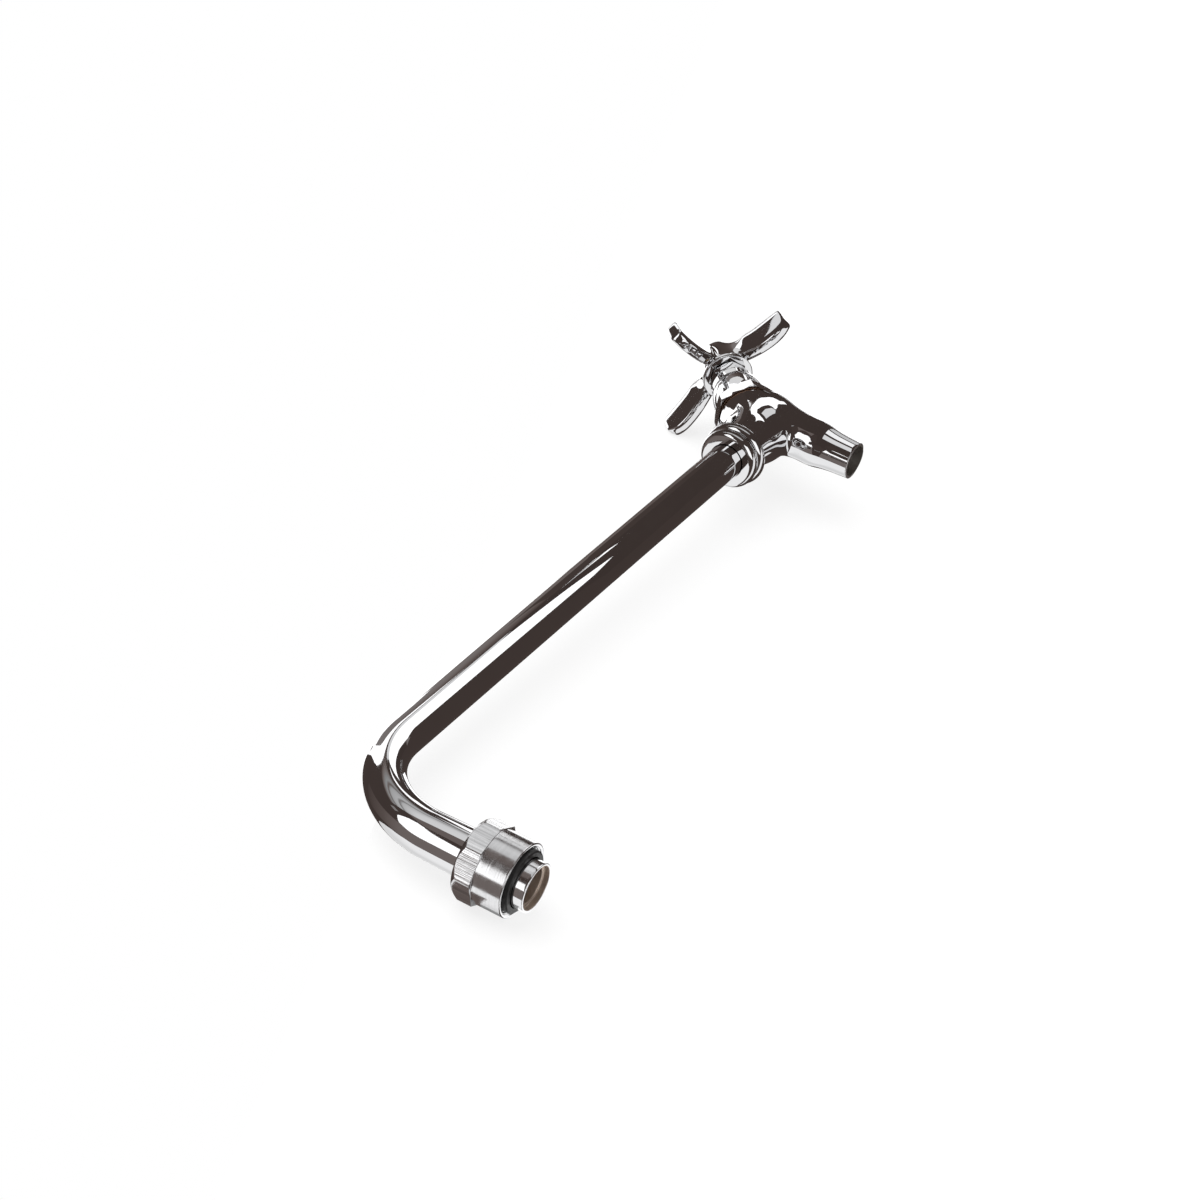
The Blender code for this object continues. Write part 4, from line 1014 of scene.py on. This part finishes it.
def banded_card(name, azimuths, bands):
    """A card of bands (elevation, strength), each running along these azimuths."""
    rows = [[ELBOW + ray(azimuth, elevation) * ROOM for azimuth in azimuths] for elevation, _ in bands]
    grid_card(name, rows, [strength for _, strength in bands])


def level_card(name, outline, height, strength):
    """A level card with its outline in x and z, this far above the arm."""
    plain_card(name, [(x, -height, z) for x, z in outline], strength, BIB)


def room_cards():
    """The soft boxes, the pale table and the ceiling that the chrome shows."""
    flat_card("left_softbox", [(-143, 7), (-136, 32), (-123, 43), (-114, 51), (-104, 51), (-99, 45),
                               (-99, 28), (-108, 12), (-120, 8)], WHITE, distance=0.85)
    graded_card("left_low", [(-145, -31, 11), (-110, -31, 11), (-90, -31, 4), (-62, -34, -6)],
                [0.17, 0.16, 0.1, 0.06])
    flat_card("left_window", [(-91, 32), (-84, 31), (-83, 37), (-90, 38)], 0.25)
    graded_card("table", [(-150, -88, -32), (-112, -88, -31), (-95, -88, -34), (-80, -88, -40),
                          (-60, -88, -46), (-40, -88, -50), (-22, -88, -50), (0, -88, -45)],
                [1.1, 1.1, 1.0, 0.9, 0.85, 0.85, 0.9, 1.0])
    flat_card("far_arc", [(-8, 38.5), (-20, 38), (-30, 36.5), (-38, 33), (-44, 28), (-46, 20), (-45, 10),
                          (-43, 0), (-41, -8), (-38, -15), (-35, -10), (-37, 0), (-37, 10), (-35, 18),
                          (-32, 24), (-28, 27.5), (-22, 30), (-15, 33), (-8, 36.5)], WHITE)
    flat_card("far_low", [(-35, -10), (-30, -9), (-30, 6), (-26, 10), (-22, 8), (-21, -8), (-18, -14),
                          (-12, -20), (-6, -27), (-4, -44), (-20, -36), (-27, -30), (-33, -22),
                          (-38, -15)], WHITE)
    graded_card("far_gray", [(-38, -12, 33), (-20, -16, 33), (-14, -20, 34), (-8, -26, 36), (-2, -26, 30)],
                [0.22, 0.2, 0.12, 0.08, 0.05], distance=1.1 * ROOM)
    flat_card("far_strip", [(-2, 36), (1.5, 36), (3.5, 20), (3.5, 2), (1.5, 2), (0, 20)], WHITE)
    flat_card("far_post", [(2, -28), (2, -8), (5, -2), (19, -5), (19, -17), (9, -28)], WHITE)
    flat_card("right_softbox", [(10.5, 2), (19, 2.5), (22, 14), (26, 20), (32, 23), (42, 23), (52, 25),
                                (55.5, 33), (57, 38), (62, 45), (60, 58), (4, 58), (4, 36), (8, 31),
                                (10, 24), (10.5, 12)], WHITE)
    flat_card("right_fringe", [(4, 36.5), (4, 58), (0, 58), (-8, 45), (-6, 39), (-1, 38)], 0.85)
    flat_card("right_haze", [(19, 2.5), (22, 14), (26, 20), (32, 23), (42, 23), (52, 25), (57, 21), (50, 9),
                             (35, 5)], 0.2)
    banded_card("ceiling_left", (-76, -65, -54, -43, -32, -21, -10),
                [(38, 0.06), (43, 0.35), (44.5, 0.12), (46, 0.45), (50, 0.55), (51.5, 0.2), (53, 0.55),
                 (60, 0.8), (70, 0.85)])
    flat_card("ceiling_far", [(-120, 52), (-76, 53), (-76, 70), (-112, 68)], 0.14)
    around = range(-180, 181, 20)
    graded_card("ceiling", [(azimuth, 70, 89) for azimuth in around], [0.6] * len(around))
    flat_card("back_softbox", [(137, 0), (180, 0), (180, 43), (137, 43)], 1.4)
    flat_card("back_low", [(86, 18), (120, 8), (150, -30), (180, -55), (180, -86), (138, -60), (110, -26),
                           (86, 4)], 1.05)
    flat_card("bib_wall", [(-63, 0), (-60, 6), (-42, 6), (-42, -36), (-52, -30), (-60, -14)],
              WHITE, BIB, 0.5)


def near_cards():
    """The flags and small cards close to the arm, which shape the reflections on the bib and the nut."""
    level_card("flag", [(0.121, 0.0781), (0.156, 0.0626), (0.192, 0.0419), (0.30, -0.02), (0.60, -0.24),
                        (0.95, -0.2), (0.95, 0.25), (0.818, 0.2856), (0.345, 0.104), (0.262, 0.107),
                        (0.262, 0.0455), (0.21, 0.0455), (0.195, 0.07), (0.14, 0.09)], 0.04, DARK)
    curtain = [(-0.04, 0.0135), (-0.04, 0.085), (0.16, 0.085), (0.16, 0.0135)]
    plain_card("curtain", [(0.2465, -height, z) for z, height in curtain], DARK, ELBOW)
    level_card("tube_shade", [(0.12, 0.068), (0.236, 0.068), (0.236, 0.1), (0.12, 0.1)], 0.012, 0.055)
    level_card("crescent", [(0.2795, 0.0583), (0.2804, 0.06), (0.2772, 0.0612), (0.2768, 0.0638),
                            (0.276, 0.0672), (0.2736, 0.0698), (0.2695, 0.0722), (0.2661, 0.0735),
                            (0.2625, 0.073), (0.2584, 0.0687), (0.2562, 0.0619), (0.2572, 0.0565),
                            (0.2575, 0.0609), (0.2587, 0.0651), (0.2616, 0.0668), (0.2665, 0.066),
                            (0.2722, 0.0642), (0.2757, 0.0592)], OVER_BIB, WHITE)
    level_card("crescent_heart", [(0.2592, 0.0622), (0.264, 0.0627), (0.2725, 0.0614), (0.2743, 0.0582),
                                  (0.2695, 0.0561), (0.2584, 0.0573)], OVER_BIB, 0.85)
    level_card("neck_shade", [(0.2555, 0.0725), (0.2605, 0.0725), (0.2665, 0.0765), (0.2705, 0.079),
                              (0.2705, 0.0885), (0.262, 0.0885), (0.2555, 0.08)], OVER_BIB, 0.05)
    level_card("root_shade", [(0.26, 0.0415), (0.262, 0.0405), (0.28, 0.0425), (0.28, 0.054),
                              (0.262, 0.0565), (0.26, 0.051)], OVER_BIB, DARK)
    plain_card("flank_shade", [(0.254, -0.007, 0.045), (0.272, -0.0086, 0.045), (0.272, -0.0115, 0.045),
                               (0.254, -0.0115, 0.045)], DARK, BIB)
    level_card("dome_card", [(0.298, 0.11), (0.325, 0.108), (0.335, 0.125), (0.325, 0.16),
                             (0.305, 0.165)], 0.04, 0.9)
    spout_low, spout_high = 0.0285, 0.039
    for number, (near, far, glow) in enumerate(SPOUT_BARS):
        level_card(f"spout_bar_{number}", [(near, spout_low), (far, spout_low), (far, spout_high),
                                           (near, spout_high)], 0.011, glow)
    level_card("bib_floor", [(0.283, 0.068), (0.293, 0.071), (0.296, 0.05), (0.295, 0.02), (0.28, 0.03),
                             (0.2825, 0.05)], -0.022, 1.0)
    level_card("mouth_floor", [(-0.006, 0.0), (0.02, 0.004), (0.032, -0.01), (0.03, -0.03),
                               (-0.006, -0.03)], -0.0128, 1.3)
    level_card("skirt_shade", [(-0.01, 0.0), (-0.01, 0.0095), (0.012, 0.0095), (0.012, 0.0)],
               UNDER_NUT, 0.3)
    level_card("flat_shade", [(-0.02, 0.0095), (-0.02, 0.02), (0.004, 0.02), (0.012, 0.0095)],
               UNDER_NUT, 0.12)


def floor():
    """A pale floor under the object. Its far edge runs behind the arm, where no shadow falls."""
    far, edge, slope = 2.0, 0.052, 0.374
    outline = [(-far, -far), (far, -far), (far, edge + slope * far), (-far, edge - slope * far)]
    corners = [(x, FLOOR_PLACE.y - UP.x / UP.y * x, z) for x, z in outline]
    mesh = bpy.data.meshes.new("floor")
    mesh.from_pydata(corners, [], [list(range(len(corners)))])
    if mesh.polygons[0].normal.dot(UP) < 0:
        mesh.flip_normals()
    material, nodes, links = new_material("floor")
    nodes.remove(nodes["Principled BSDF"])
    pale = add_node(nodes, "ShaderNodeBsdfDiffuse", Color=(FLOOR_GRAY, FLOOR_GRAY, FLOOR_GRAY, 1.0))
    white = add_node(nodes, "ShaderNodeEmission", Strength=FLOOR_GLOW)
    both = add_node(nodes, "ShaderNodeAddShader")
    rays = add_node(nodes, "ShaderNodeLightPath")
    links.new(pale.outputs["BSDF"], both.inputs[0])
    links.new(white.outputs["Emission"], both.inputs[1])
    seen = mixed(nodes, links, rays.outputs["Is Camera Ray"], pale.outputs["BSDF"], both.outputs["Shader"])
    show_front(nodes, links, seen)
    mesh.materials.append(material)
    made = place_object("floor", mesh)
    made.visible_glossy = False


def world():
    """White to the camera, a dim room to reflections and an even fill to the rest."""
    made = bpy.data.worlds.new("studio")
    made.use_nodes = True
    bpy.context.scene.world = made
    nodes, links = made.node_tree.nodes, made.node_tree.links
    rays = add_node(nodes, "ShaderNodeLightPath")
    fill = nodes["Background"]
    fill.inputs["Color"].default_value = (1.0, 1.0, 1.0, 1.0)
    fill.inputs["Strength"].default_value = FILL_GLOW
    room = add_node(nodes, "ShaderNodeBackground", Color=(*ROOM_TINT, 1.0), Strength=ROOM_GLOW)
    white = add_node(nodes, "ShaderNodeBackground", Color=(1.0, 1.0, 1.0, 1.0), Strength=1.0)
    fill, room, white = (shade.outputs["Background"] for shade in (fill, room, white))
    lit = mixed(nodes, links, rays.outputs["Is Glossy Ray"], fill, room)
    shown = mixed(nodes, links, rays.outputs["Is Camera Ray"], lit, white)
    links.new(shown, nodes["World Output"].inputs["Surface"])


def key_light():
    """A soft sun from the upper left, for the shadows on the floor."""
    data = bpy.data.lights.new("key", "SUN")
    data.energy = KEY_ENERGY
    data.angle = KEY_SPREAD
    made = place_object("key", data)
    towards = (AWAY * 0.2 - RIGHT * 0.5 + UP * 1.0).normalized()
    made.rotation_mode = "QUATERNION"
    made.rotation_quaternion = towards.to_track_quat("Z", "Y")
    made.visible_glossy = False


def main():
    """Builds the pieces and the studio."""
    swivel_nut()
    swivel_washer()
    spigot()
    spout_tube()
    valve_body()
    spout_end()
    inlet_collar()
    bonnet()
    packing_nut()
    handle()
    handle_cap()
    camera()
    room_cards()
    near_cards()
    floor()
    world()
    key_light()
    bpy.context.scene.view_settings.view_transform = "Standard"


main()
